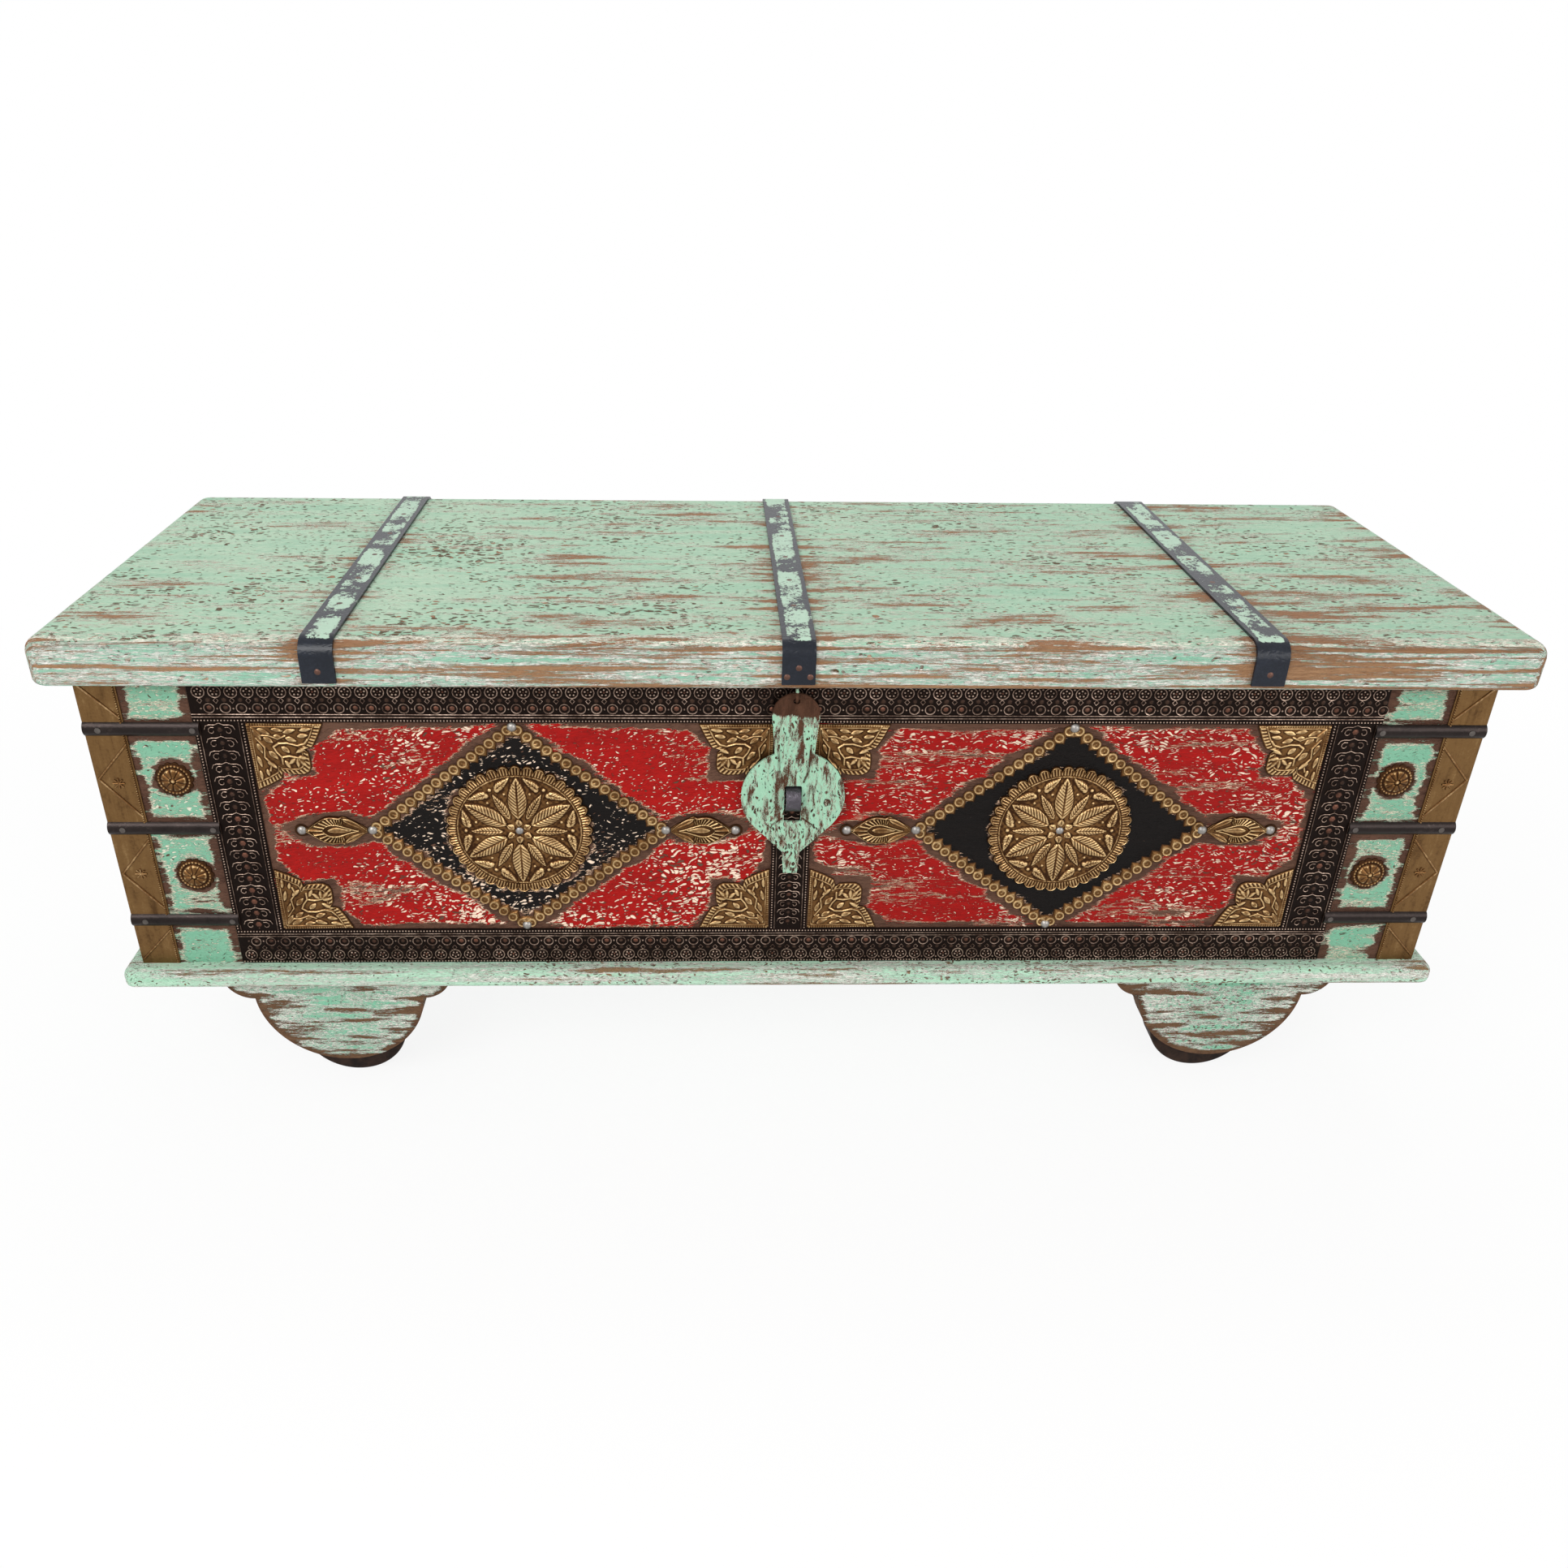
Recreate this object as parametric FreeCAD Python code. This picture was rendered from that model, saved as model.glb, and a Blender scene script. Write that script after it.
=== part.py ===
import FreeCAD, Part
import math
import os

V = FreeCAD.Vector

# A low wooden dowry chest on four wheel feet. The front is dressed with embossed sheet metal,
# the lid turns on three strap hinges at the back, and a hasp hangs from the lid over a staple.
# Lengths are in millimetres. X runs along the front, -Y is the front, +Z is up.
# The origin is on the floor, under the middle of the whole chest.

# Carcass and base
body_width = 1120.0
body_depth = 382.0
body_height = 268.0
board_thickness = 18.0
base_thickness = 18.0
base_side_overhang = 16.5
base_front_overhang = 15.0
base_corner_radius = 9.0
base_top_radius = 7.0
base_bottom_radius = 5.0

# Lid
lid_thickness = 38.0
lid_side_overhang = 28.0
lid_front_overhang = 16.0
lid_corner_radius = 14.0
lid_top_radius = 12.0
lid_bottom_radius = 5.5
lid_rim_height = 14.0
lid_rim_width = 60.0
lid_rest_gap = 0.4

# Feet: a wheel between two shaped boards, on an axle that runs front to back
foot_inset = 161.0
foot_setback = 5.0
bracket_thickness = 21.0
bracket_round_radius = 75.0
bracket_round_drop = 20.3
bracket_below_axle = 16.3
bracket_ear_radius = 26.0
wheel_radius = 48.0
wheel_thickness = 28.0
wheel_side_gap = 1.5
wheel_rim_radius = 2.0
axle_radius = 3.0
axle_running_gap = 0.05
axle_seat_gap = 0.02

# Iron lid straps, which are also the upper leaves of the hinges
strap_inset = 194.0
strap_width = 26.0
strap_thickness = 2.4
eye_radius = 5.0
eye_width = 11.5
eye_side_gap = 0.25
eye_wall_gap = 0.3
hinge_pin_radius = 2.5
hinge_running_gap = 0.05
hinge_head_radius = 3.7
hinge_head_length = 1.2
hinge_neck_length = 6.0
leaf_length = 62.0

# Nails in the straps: low domes on the fronts and leaves, flush heads in the lid's top
nail_radius = 2.4
nail_head = 0.8
middle_strap_nail_half_spacing = 9.0
middle_strap_nail_height = 6.5
middle_strap_top_nail_height = 14.0
side_strap_nail_height = 9.5
strap_nail_pitch = 62.0
strap_top_nails = 5
leaf_nail_pitch = 36.0

# Sheet metal dressing of the front
sheet_thickness = 1.2
end_panel_width = 85.0
border_rail_height = 35.0
border_stile_width = 40.0
border_middle_width = 32.0
relief_height = 1.6

# Ornaments in each of the two red panels
diamond_side_room = 88.5
diamond_end_room = 4.0
diamond_strip_width = 10.0
ornament_size = 60.0
ornament_margin = 1.0
medallion_room = 8.7
medallion_scallops = 36
scallop_depth = 2.2
medallion_ring_inset = 8.5
medallion_ring_width = 2.0
petals = 6
petal_inner_radius = 14.0
large_petal_gap = 1.5
large_petal_width = 15.0
small_petal_shortfall = 11.0
small_petal_width = 9.0
rosette_bead_radius = 3.0
finial_nail_inset = 30.5
finial_leaf_width = 36.0
finial_start_gap = 0.8
finial_pad_radius = 5.5
dome_radius = 4.0
dome_height = 2.6

# Rosettes, brass corner sheets and iron corner straps beside the panels
rosette_inset = 24.5
rosette_radius = 15.5
rosette_scallops = 14
rosette_scallop_depth = 1.2
rosette_dome_radius = 9.5
rosette_dome_height = 3.0
corner_sheet_width = 31.0
corner_strap_height = 12.0
corner_strap_bulge = 3.2
corner_strap_end_inset = 43.3
corner_strap_overlap = 4.5
corner_strap_nail_inset = 11.0
corner_strap_end_nail_inset = 5.0
corner_strap_nail_sink = 0.5
corner_strap_nail_rise = 0.3
side_row_lift = 2.0

# Hasp, its eye under the lid edge, and the staple that it drops over
eye_stand_off = 9.0
eye_ring_radius = 5.5
eye_wire_radius = 1.3
eye_shank_length = 11.0
eye_seat_gap = 0.02
hasp_thickness = 2.0
hasp_tilt = 2.0
hasp_tab = 6.8
hasp_hole_radius = 2.6
hasp_top_radius = 19.0
hasp_neck_half_width = 16.0
hasp_disc_radius = 42.5
hasp_disc_drop = 87.0
hasp_tail_top_half_width = 7.3
hasp_tail_half_width = 5.8
hasp_tail_length = 21.0
hasp_tail_drop = 32.7
slot_half_width = 7.0
slot_height = 34.0
slot_corner_radius = 1.5
slot_top_drop = 77.0
staple_width = 12.0
staple_bar = 2.6
staple_radius = 11.0
staple_top_gap = 1.2
staple_leg = 14.0

# How far cutting tools run past what they cut
overrun = 4.0

# Places that follow from the sizes above
front_reach = lid_front_overhang + strap_thickness + nail_head
back_reach = 2 * eye_radius + eye_wall_gap
face_y = (front_reach - back_reach - body_depth) / 2
back_y = face_y + body_depth
sheet_y = face_y - sheet_thickness
side_x = body_width / 2
foot_centre_x = side_x - foot_inset
strap_spacing = side_x - strap_inset

axle_z = wheel_radius
base_z = axle_z - bracket_below_axle + bracket_round_radius + bracket_round_drop
floor_z = base_z + base_thickness
top_z = floor_z + body_height
mid_z = floor_z + body_height / 2
lid_z = top_z + lid_rest_gap
lid_top_z = lid_z + lid_thickness
lid_front_y = face_y - lid_front_overhang
lid_half_x = side_x + lid_side_overhang
axis_y = back_y + eye_wall_gap + eye_radius
axis_z = top_z + lid_rest_gap / 2

eye_y = face_y - eye_stand_off
eye_z = lid_z - eye_ring_radius - eye_wire_radius
hole_drop = eye_ring_radius
staple_z = eye_z - hole_drop - slot_top_drop - staple_top_gap - staple_radius
staple_y = eye_y + (eye_z - staple_z) * math.tan(math.radians(hasp_tilt)) + hasp_thickness / 2

border_half_width = side_x - end_panel_width
panel_inner_x = border_middle_width / 2
panel_outer_x = border_half_width - border_stile_width
panel_x = (panel_inner_x + panel_outer_x) / 2
panel_half_width = (panel_outer_x - panel_inner_x) / 2
panel_half_height = body_height / 2 - border_rail_height

diamond_half_width = panel_half_width - diamond_side_room
diamond_half_height = panel_half_height - diamond_end_room
diamond_edge_distance = (diamond_half_width * diamond_half_height
                         / math.hypot(diamond_half_width, diamond_half_height))
medallion_radius = diamond_edge_distance - diamond_strip_width / 2 - medallion_room
medallion_ring_radius = medallion_radius - medallion_ring_inset
large_petal_length = (medallion_ring_radius - medallion_ring_width / 2 - large_petal_gap
                      - petal_inner_radius)
small_petal_length = large_petal_length - small_petal_shortfall
finial_length = panel_half_width - diamond_half_width - finial_nail_inset

corner_strap_pitch = body_height / 2 - corner_strap_end_inset
rosette_x = border_half_width + rosette_inset

os.makedirs("parts", exist_ok=True)


def save(name, *solids):
    """Write one node: a single solid, or a group of separate solids."""
    shape = solids[0] if len(solids) == 1 else Part.makeCompound(list(solids))
    shape.exportStep("parts/" + name + ".step")
    print(name, len(shape.Solids), "solids, valid", shape.isValid())


def box(x0, x1, y0, y1, z0, z1):
    return Part.makeBox(x1 - x0, y1 - y0, z1 - z0, V(x0, y0, z0))


def rod(radius, start, end):
    return Part.makeCylinder(radius, (end - start).Length, start, end - start)


def dome(radius, height, base, direction):
    """A round nail head: the cap of a sphere, flat side on base."""
    ball = (radius ** 2 + height ** 2) / (2 * height)
    centre = base - direction * (ball - height)
    low = math.degrees(math.asin((ball - height) / ball))
    return Part.makeSphere(ball, centre, direction, low, 90, 360)


def line(a, b):
    return Part.LineSegment(a, b).toShape()


def arc(a, middle, b):
    return Part.Arc(a, middle, b).toShape()


def prism(edges, run):
    return Part.Face(Part.Wire(edges)).extrude(run)


def polygon_prism(points, run):
    return Part.Face(Part.makePolygon(points + points[:1])).extrude(run)


def mirrored(shape):
    """The same piece on the other side of the chest."""
    return shape.mirror(V(0, 0, 0), V(1, 0, 0))


def moved(shape, x, y, z):
    copy = shape.copy()
    copy.translate(V(x, y, z))
    return copy


def upright_edges(shape):
    return [e for e in shape.Edges if abs(e.tangentAt(e.FirstParameter).z) > 0.99]


def edges_at(shape, z):
    near = board_thickness / 1000
    return [e for e in shape.Edges if all(abs(v.Z - z) < near for v in e.Vertexes)]


def rounded_board(blank, corner, top, bottom, corners):
    """A board with rounded plan corners and a rounded nose all round."""
    board = blank.makeFillet(corner, corners)
    board = board.makeFillet(top, edges_at(board, blank.BoundBox.ZMax))
    return board.makeFillet(bottom, edges_at(board, blank.BoundBox.ZMin))


# Carcass: a base board with a rounded nose, front and back boards, and end boards between them
def base_board():
    half_x = side_x + base_side_overhang
    front = face_y - base_front_overhang
    blank = box(-half_x, half_x, front, back_y, base_z, floor_z)
    corners = [e for e in upright_edges(blank) if e.Vertexes[0].Y < 0]
    board = blank.makeFillet(base_corner_radius, corners)
    for height, radius in ((floor_z, base_top_radius), (base_z, base_bottom_radius)):
        nose = [e for e in edges_at(board, height) if e.BoundBox.YMin < back_y - base_corner_radius]
        board = board.makeFillet(radius, nose)
    return board


def staple_legs():
    """The two legs of the staple where they stand in the front board."""
    half = staple_width / 2
    end_y = face_y + staple_leg
    outer = box(-half, half, sheet_y, end_y, staple_z - staple_radius, staple_z + staple_radius)
    inner_radius = staple_radius - staple_bar
    inner = box(-half, half, sheet_y, end_y, staple_z - inner_radius, staple_z + inner_radius)
    return outer.cut(inner)


front_board = box(-side_x, side_x, face_y, face_y + board_thickness, floor_z, top_z)
front_board = front_board.cut(staple_legs())
back_board = box(-side_x, side_x, back_y - board_thickness, back_y, floor_z, top_z)
end_board = box(side_x - board_thickness, side_x, face_y + board_thickness,
                back_y - board_thickness, floor_z, top_z)
save("base_board", base_board())
save("front_board", front_board)
save("back_board", back_board)
save("end_board_right", end_board)
save("end_board_left", mirrored(end_board))


# Lid: a board on a rim of four strips, both rounded as one nose
def lid_blank():
    blank = box(-lid_half_x, lid_half_x, lid_front_y, back_y, lid_z, lid_top_z)
    return rounded_board(blank, lid_corner_radius, lid_top_radius, lid_bottom_radius,
                         upright_edges(blank))


def eye_shank(radius):
    base = V(0, eye_y, eye_z + eye_ring_radius)
    return rod(radius, base, V(0, eye_y, lid_z + eye_shank_length))


lid_whole = lid_blank()
split_z = lid_z + lid_rim_height
wide_x = lid_half_x + overrun
rim_front_y = lid_front_y + lid_rim_width
rim_back_y = back_y - lid_rim_width
rim_inner_x = lid_half_x - lid_rim_width
low_z = lid_z - overrun
lid_board = lid_whole.common(box(-wide_x, wide_x, lid_front_y - overrun, back_y + overrun,
                                 split_z, lid_top_z + overrun))
rim_front = lid_whole.common(box(-wide_x, wide_x, lid_front_y - overrun, rim_front_y, low_z, split_z))
rim_front = rim_front.cut(eye_shank(eye_wire_radius + eye_seat_gap))
rim_back = lid_whole.common(box(-wide_x, wide_x, rim_back_y, back_y + overrun, low_z, split_z))
rim_side = lid_whole.common(box(rim_inner_x, wide_x, rim_front_y, rim_back_y, low_z, split_z))
save("lid_board", lid_board)
save("lid_rim_front", rim_front)
save("lid_rim_back", rim_back)
save("lid_rim_right", rim_side)
save("lid_rim_left", mirrored(rim_side))


# Lid straps: flat iron bars bent over the lid, with a hinge eye at the back end
def lid_section(grow, bottom_z):
    """The lid's outline seen from the end, grown outwards, pushed a strap's width along X."""
    y0 = lid_front_y - grow
    y1 = back_y + grow
    z1 = lid_top_z + grow
    r = lid_top_radius + grow
    lean = r * math.sqrt(0.5)
    x0 = -strap_width / 2
    edges = [
        line(V(x0, y0, bottom_z), V(x0, y0, z1 - r)),
        arc(V(x0, y0, z1 - r), V(x0, y0 + r - lean, z1 - r + lean), V(x0, y0 + r, z1)),
        line(V(x0, y0 + r, z1), V(x0, y1 - r, z1)),
        arc(V(x0, y1 - r, z1), V(x0, y1 - r + lean, z1 - r + lean), V(x0, y1, z1 - r)),
        line(V(x0, y1, z1 - r), V(x0, y1, bottom_z)),
        line(V(x0, y1, bottom_z), V(x0, y0, bottom_z)),
    ]
    return prism(edges, V(strap_width, 0, 0))


def knuckle(x0, x1, z0, z1):
    """A hinge eye on a short tongue that leads to the strap or the leaf."""
    eye = rod(eye_radius, V(x0, axis_y, axis_z), V(x1, axis_y, axis_z))
    tongue = box(x0, x1, back_y, back_y + strap_thickness, z0, z1)
    bore = rod(hinge_pin_radius + hinge_running_gap,
               V(x0 - overrun, axis_y, axis_z), V(x1 + overrun, axis_y, axis_z))
    return eye.fuse(tongue).cut(bore)


def lid_strap():
    half = strap_width / 2
    front_end = lid_z + lid_bottom_radius
    neck_z = axis_z + hinge_neck_length
    middle_y = (face_y + back_y) / 2
    bar = lid_section(strap_thickness, lid_z - overrun).cut(lid_section(0, lid_z - 2 * overrun))
    bar = bar.cut(box(-half, half, lid_front_y - strap_thickness, middle_y, low_z - overrun, front_end))
    bar = bar.cut(box(-half, half, middle_y, back_y + strap_thickness, low_z - overrun, neck_z))
    return bar.fuse(knuckle(-eye_width / 2, eye_width / 2, axis_z, neck_z))


def hinge_leaf():
    half = strap_width / 2
    neck_z = axis_z - hinge_neck_length
    leaf = box(-half, half, back_y, back_y + strap_thickness, neck_z - leaf_length, neck_z)
    inner = eye_width / 2 + eye_side_gap
    leaf = leaf.fuse(knuckle(-half, -inner, neck_z, axis_z))
    return leaf.fuse(knuckle(inner, half, neck_z, axis_z))


def hinge_pin():
    half = strap_width / 2
    end = half + hinge_head_length
    pin = rod(hinge_pin_radius, V(-end, axis_y, axis_z), V(end, axis_y, axis_z))
    for side in (-1, 1):
        head = rod(hinge_head_radius, V(side * half, axis_y, axis_z), V(side * end, axis_y, axis_z))
        pin = pin.fuse(head)
    return pin


def flush_heads(x):
    """The nail heads let into the top of one strap, flush with it."""
    high = lid_top_z + strap_thickness
    places = [face_y + (step + 1) * strap_nail_pitch for step in range(strap_top_nails)]
    return [rod(nail_radius, V(x, y, high - nail_head), V(x, y, high)) for y in places]


strap_places = {"left": -strap_spacing, "middle": 0, "right": strap_spacing}
strap = lid_strap().cut(flush_heads(0))
leaf = hinge_leaf()
pin = hinge_pin()
for side, x in strap_places.items():
    save("lid_strap_" + side, moved(strap, x, 0, 0))
    save("hinge_leaf_" + side, moved(leaf, x, 0, 0))
save("hinge_pins", *[moved(pin, x, 0, 0) for x in strap_places.values()])


# Nails in the fronts and tops of the lid straps, and in the hinge leaves
def lid_nails():
    front_y = lid_front_y - strap_thickness
    front_end = lid_z + lid_bottom_radius
    heads = []
    for side, x in strap_places.items():
        fronts = [(x, side_strap_nail_height)]
        if side == "middle":
            spread = middle_strap_nail_half_spacing
            fronts = [(x, middle_strap_top_nail_height), (x - spread, middle_strap_nail_height),
                      (x + spread, middle_strap_nail_height)]
        for nail_x, height in fronts:
            heads.append(dome(nail_radius, nail_head, V(nail_x, front_y, front_end + height), V(0, -1, 0)))
        heads += flush_heads(x)
    return heads


def leaf_nails():
    outer_y = back_y + strap_thickness
    leaf_middle = axis_z - hinge_neck_length - leaf_length / 2
    return [dome(nail_radius, nail_head, V(x, outer_y, leaf_middle + end * leaf_nail_pitch / 2), V(0, 1, 0))
            for x in strap_places.values() for end in (-1, 1)]


save("lid_strap_nails", *lid_nails())
save("hinge_leaf_nails", *leaf_nails())


# Sheet metal borders round and between the two red panels
def sheet(x0, x1, z0, z1):
    return box(x0, x1, sheet_y, face_y, z0, z1)


rail_z = floor_z + border_rail_height
upper_rail_z = top_z - border_rail_height
border_middle = sheet(-panel_inner_x, panel_inner_x, rail_z, upper_rail_z).cut(staple_legs())
border_right = sheet(panel_outer_x, border_half_width, rail_z, upper_rail_z)
save("border_bottom", sheet(-border_half_width, border_half_width, floor_z, rail_z))
save("border_top", sheet(-border_half_width, border_half_width, upper_rail_z, top_z))
save("border_middle", border_middle)
save("border_right", border_right)
save("border_left", mirrored(border_right))


# Ornaments are drawn flat at the origin, their back on y = 0, and then carried to their places
def plate(edges, thickness):
    return prism(edges, V(0, -thickness, 0))


def scalloped_disc(radius, scallops, depth, thickness):
    step = 2 * math.pi / scallops
    valley = radius - depth

    def at(r, angle):
        return V(r * math.cos(angle), 0, r * math.sin(angle))

    edges = [arc(at(valley, k * step), at(radius, (k + 0.5) * step), at(valley, (k + 1) * step))
             for k in range(scallops)]
    return plate(edges, thickness)


def petal(start, length, width, angle):
    """A lens shaped leaf that points away from the centre."""
    middle = start + length / 2
    tip = start + length
    edges = [arc(V(start, 0, 0), V(middle, 0, width / 2), V(tip, 0, 0)),
             arc(V(tip, 0, 0), V(middle, 0, -width / 2), V(start, 0, 0))]
    leaf_shape = plate(edges, sheet_thickness + relief_height)
    leaf_shape.rotate(V(0, 0, 0), V(0, 1, 0), math.degrees(angle))
    return leaf_shape


def ring(radius, width, thickness):
    outer = rod(radius + width / 2, V(0, 0, 0), V(0, -thickness, 0))
    return outer.cut(rod(radius - width / 2, V(0, overrun, 0), V(0, -thickness - overrun, 0)))


def medallion():
    disc = scalloped_disc(medallion_radius, medallion_scallops, scallop_depth, sheet_thickness)
    raised = [ring(medallion_ring_radius, medallion_ring_width, sheet_thickness + relief_height)]
    turn = math.pi / petals
    for k in range(petals):
        up = math.pi / 2 + 2 * k * turn
        raised.append(petal(petal_inner_radius, large_petal_length, large_petal_width, up))
        raised.append(petal(petal_inner_radius, small_petal_length, small_petal_width, up + turn))
        bead_radius = petal_inner_radius - rosette_bead_radius - dome_radius / 4
        bead = V(bead_radius * math.cos(up), -sheet_thickness, bead_radius * math.sin(up))
        raised.append(dome(rosette_bead_radius, relief_height, bead, V(0, -1, 0)))
    return disc.fuse(raised).removeSplitter()


def diamond():
    """A lozenge frame whose middle line passes under its four corner nails."""
    def lozenge(offset, front, back):
        scale = (diamond_edge_distance + offset) / diamond_edge_distance
        w = diamond_half_width * scale
        h = diamond_half_height * scale
        points = [V(w, back, 0), V(0, back, h), V(-w, back, 0), V(0, back, -h)]
        return polygon_prism(points, V(0, front - back, 0))

    half = diamond_strip_width / 2
    frame = lozenge(half, -sheet_thickness, 0).cut(lozenge(-half, -sheet_thickness - overrun, overrun))
    reach = diamond_half_width * 2
    limit = panel_half_height - ornament_margin
    return frame.common(box(-reach, reach, -sheet_thickness, 0, -limit, limit))


# The corner ornament's outline as shares of its size, from one tip round the cusped lobe
ornament_tip_arc_shares = ((1.0, 0.0), (0.9, 0.22), (0.72, 0.36))
ornament_lobe_shares = ((0.72, 0.36), (0.76, 0.54), (0.73, 0.73), (0.54, 0.76), (0.36, 0.72))


def corner_ornament():
    def at(pair):
        return V(pair[0] * ornament_size, 0, pair[1] * ornament_size)

    def swapped(pair):
        return (pair[1], pair[0])

    tip, bulge, notch = ornament_tip_arc_shares
    side_notch, side, corner, top_side, top_notch = ornament_lobe_shares
    edges = [
        line(at((0, 0)), at(tip)),
        arc(at(tip), at(bulge), at(notch)),
        arc(at(side_notch), at(side), at(corner)),
        arc(at(corner), at(top_side), at(top_notch)),
        arc(at(swapped(notch)), at(swapped(bulge)), at(swapped(tip))),
        line(at(swapped(tip)), at((0, 0))),
    ]
    return plate(edges, sheet_thickness)


# The finial's leaf: half of its outline, as shares of its length and of half its width
finial_outline_shares = ((0.0, 0.14), (0.12, 0.85), (0.36, 1.0), (0.66, 0.82), (1.0, 0.1))


def finial(start):
    """A pointed leaf between a corner nail of the diamond and the outer nail."""
    length = finial_length - finial_pad_radius / 2 - start
    half = finial_leaf_width / 2

    def at(pair, side):
        return V(start + pair[0] * length, 0, side * pair[1] * half)

    neck, scroll, shoulder, flank, tip = finial_outline_shares
    edges = []
    edges.append(arc(at(neck, 1), at(scroll, 1), at(shoulder, 1)))
    edges.append(arc(at(shoulder, 1), at(flank, 1), at(tip, 1)))
    edges.append(line(at(tip, 1), at(tip, -1)))
    edges.append(arc(at(tip, -1), at(flank, -1), at(shoulder, -1)))
    edges.append(arc(at(shoulder, -1), at(scroll, -1), at(neck, -1)))
    edges.append(line(at(neck, -1), at(neck, 1)))
    pad = rod(finial_pad_radius, V(finial_length, 0, 0), V(finial_length, -sheet_thickness, 0))
    return plate(edges, sheet_thickness).fuse(pad).removeSplitter()


def side_rosette():
    disc = scalloped_disc(rosette_radius, rosette_scallops, rosette_scallop_depth, sheet_thickness)
    boss = dome(rosette_dome_radius, rosette_dome_height, V(0, -sheet_thickness, 0), V(0, -1, 0))
    return disc.fuse(boss).removeSplitter()


def panel_ornaments(name, x):
    """Everything nailed to one red panel, whose middle is at x."""
    save("diamond_trim_" + name, moved(diamond(), x, face_y, mid_z))
    save("medallion_" + name, moved(medallion(), x, face_y, mid_z))
    tip = diamond_half_width * diamond_strip_width / 2 / diamond_edge_distance
    to_right = finial(tip + finial_start_gap)
    to_left = mirrored(to_right)
    save("finials_" + name, moved(to_right, x + diamond_half_width, face_y, mid_z),
         moved(to_left, x - diamond_half_width, face_y, mid_z))
    plain = corner_ornament()
    corners = []
    for side_x_sign in (-1, 1):
        for side_z_sign in (-1, 1):
            turned = plain if side_x_sign < 0 else mirrored(plain)
            if side_z_sign > 0:
                turned = turned.mirror(V(0, 0, 0), V(0, 0, 1))
            corners.append(moved(turned, x + side_x_sign * (panel_half_width - ornament_margin),
                                 face_y, mid_z + side_z_sign * (panel_half_height - ornament_margin)))
    save("corner_ornaments_" + name, *corners)


def panel_nails(x):
    """Dome nails: the diamond's corners, the medallion's middle and the finials' tips."""
    far = diamond_half_width + finial_length
    places = [(0, 0), (diamond_half_width, 0), (-diamond_half_width, 0), (far, 0), (-far, 0),
              (0, diamond_half_height), (0, -diamond_half_height)]
    return [dome(dome_radius, dome_height, V(x + u, sheet_y, mid_z + w), V(0, -1, 0))
            for u, w in places]


panel_ornaments("left", -panel_x)
panel_ornaments("right", panel_x)
save("dome_nails", *(panel_nails(-panel_x) + panel_nails(panel_x)))
rosette_z = [mid_z + side_row_lift + end * corner_strap_pitch / 2 for end in (-1, 1)]
save("side_rosettes", *[moved(side_rosette(), x, face_y, z)
                        for x in (-rosette_x, rosette_x) for z in rosette_z])


# Brass sheets bent round the front corners, and the iron straps nailed over them
def corner_sheet():
    outer_x = side_x + sheet_thickness
    front_flange = box(side_x - corner_sheet_width, outer_x, sheet_y, face_y, floor_z, top_z)
    side_flange = box(side_x, outer_x, face_y, face_y + corner_sheet_width, floor_z, top_z)
    return front_flange.fuse(side_flange).removeSplitter()


def corner_strap(z):
    """A half-round bar nailed across the corner sheet and the green end of the board."""
    half = corner_strap_height / 2
    corner_x = side_x + sheet_thickness
    crown_y = sheet_y - corner_strap_bulge
    end_x = border_half_width - corner_strap_overlap
    section = [arc(V(end_x, sheet_y, z - half), V(end_x, crown_y, z), V(end_x, sheet_y, z + half)),
               line(V(end_x, sheet_y, z + half), V(end_x, sheet_y, z - half))]
    whole = prism(section, V(corner_x - end_x, 0, 0))
    for nail in corner_strap_nails(z):
        whole = whole.cut(nail)
    return whole


def corner_strap_nails(z):
    """One nail near each end of the bar, let into its crown."""
    low = corner_strap_bulge - corner_strap_nail_sink
    high = corner_strap_bulge + corner_strap_nail_rise
    heads = []
    for x in (border_half_width - corner_strap_overlap + corner_strap_end_nail_inset,
              side_x - corner_strap_nail_inset):
        heads.append(rod(nail_radius, V(x, sheet_y - low, z), V(x, sheet_y - high, z)))
    return heads


strap_rows = [mid_z + side_row_lift + k * corner_strap_pitch for k in (-1, 0, 1)]
right_straps = [corner_strap(z) for z in strap_rows]
right_nails = [nail for z in strap_rows for nail in corner_strap_nails(z)]
save("corner_sheet_right", corner_sheet())
save("corner_sheet_left", mirrored(corner_sheet()))
save("corner_straps_right", *right_straps)
save("corner_straps_left", *[mirrored(s) for s in right_straps])
save("corner_strap_nails", *(right_nails + [mirrored(n) for n in right_nails]))


# Staple, hasp eye and hasp
def staple():
    """A flat bar bent to a half round, its legs let into the front board."""
    half = staple_width / 2
    inner_radius = staple_radius - staple_bar
    end_y = face_y + staple_leg

    def profile(r, back):
        edges = [line(V(-half, back, staple_z - r), V(-half, staple_y, staple_z - r)),
                 arc(V(-half, staple_y, staple_z - r), V(-half, staple_y - r, staple_z),
                     V(-half, staple_y, staple_z + r)),
                 line(V(-half, staple_y, staple_z + r), V(-half, back, staple_z + r)),
                 line(V(-half, back, staple_z + r), V(-half, back, staple_z - r))]
        return prism(edges, V(staple_width, 0, 0))

    return profile(staple_radius, end_y).cut(profile(inner_radius, end_y))


def hasp_eye():
    """A ring in the YZ plane on a shank that is driven up into the lid's rim."""
    hoop = Part.makeTorus(eye_ring_radius, eye_wire_radius, V(0, eye_y, eye_z), V(1, 0, 0))
    return hoop.fuse(eye_shank(eye_wire_radius))


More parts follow.
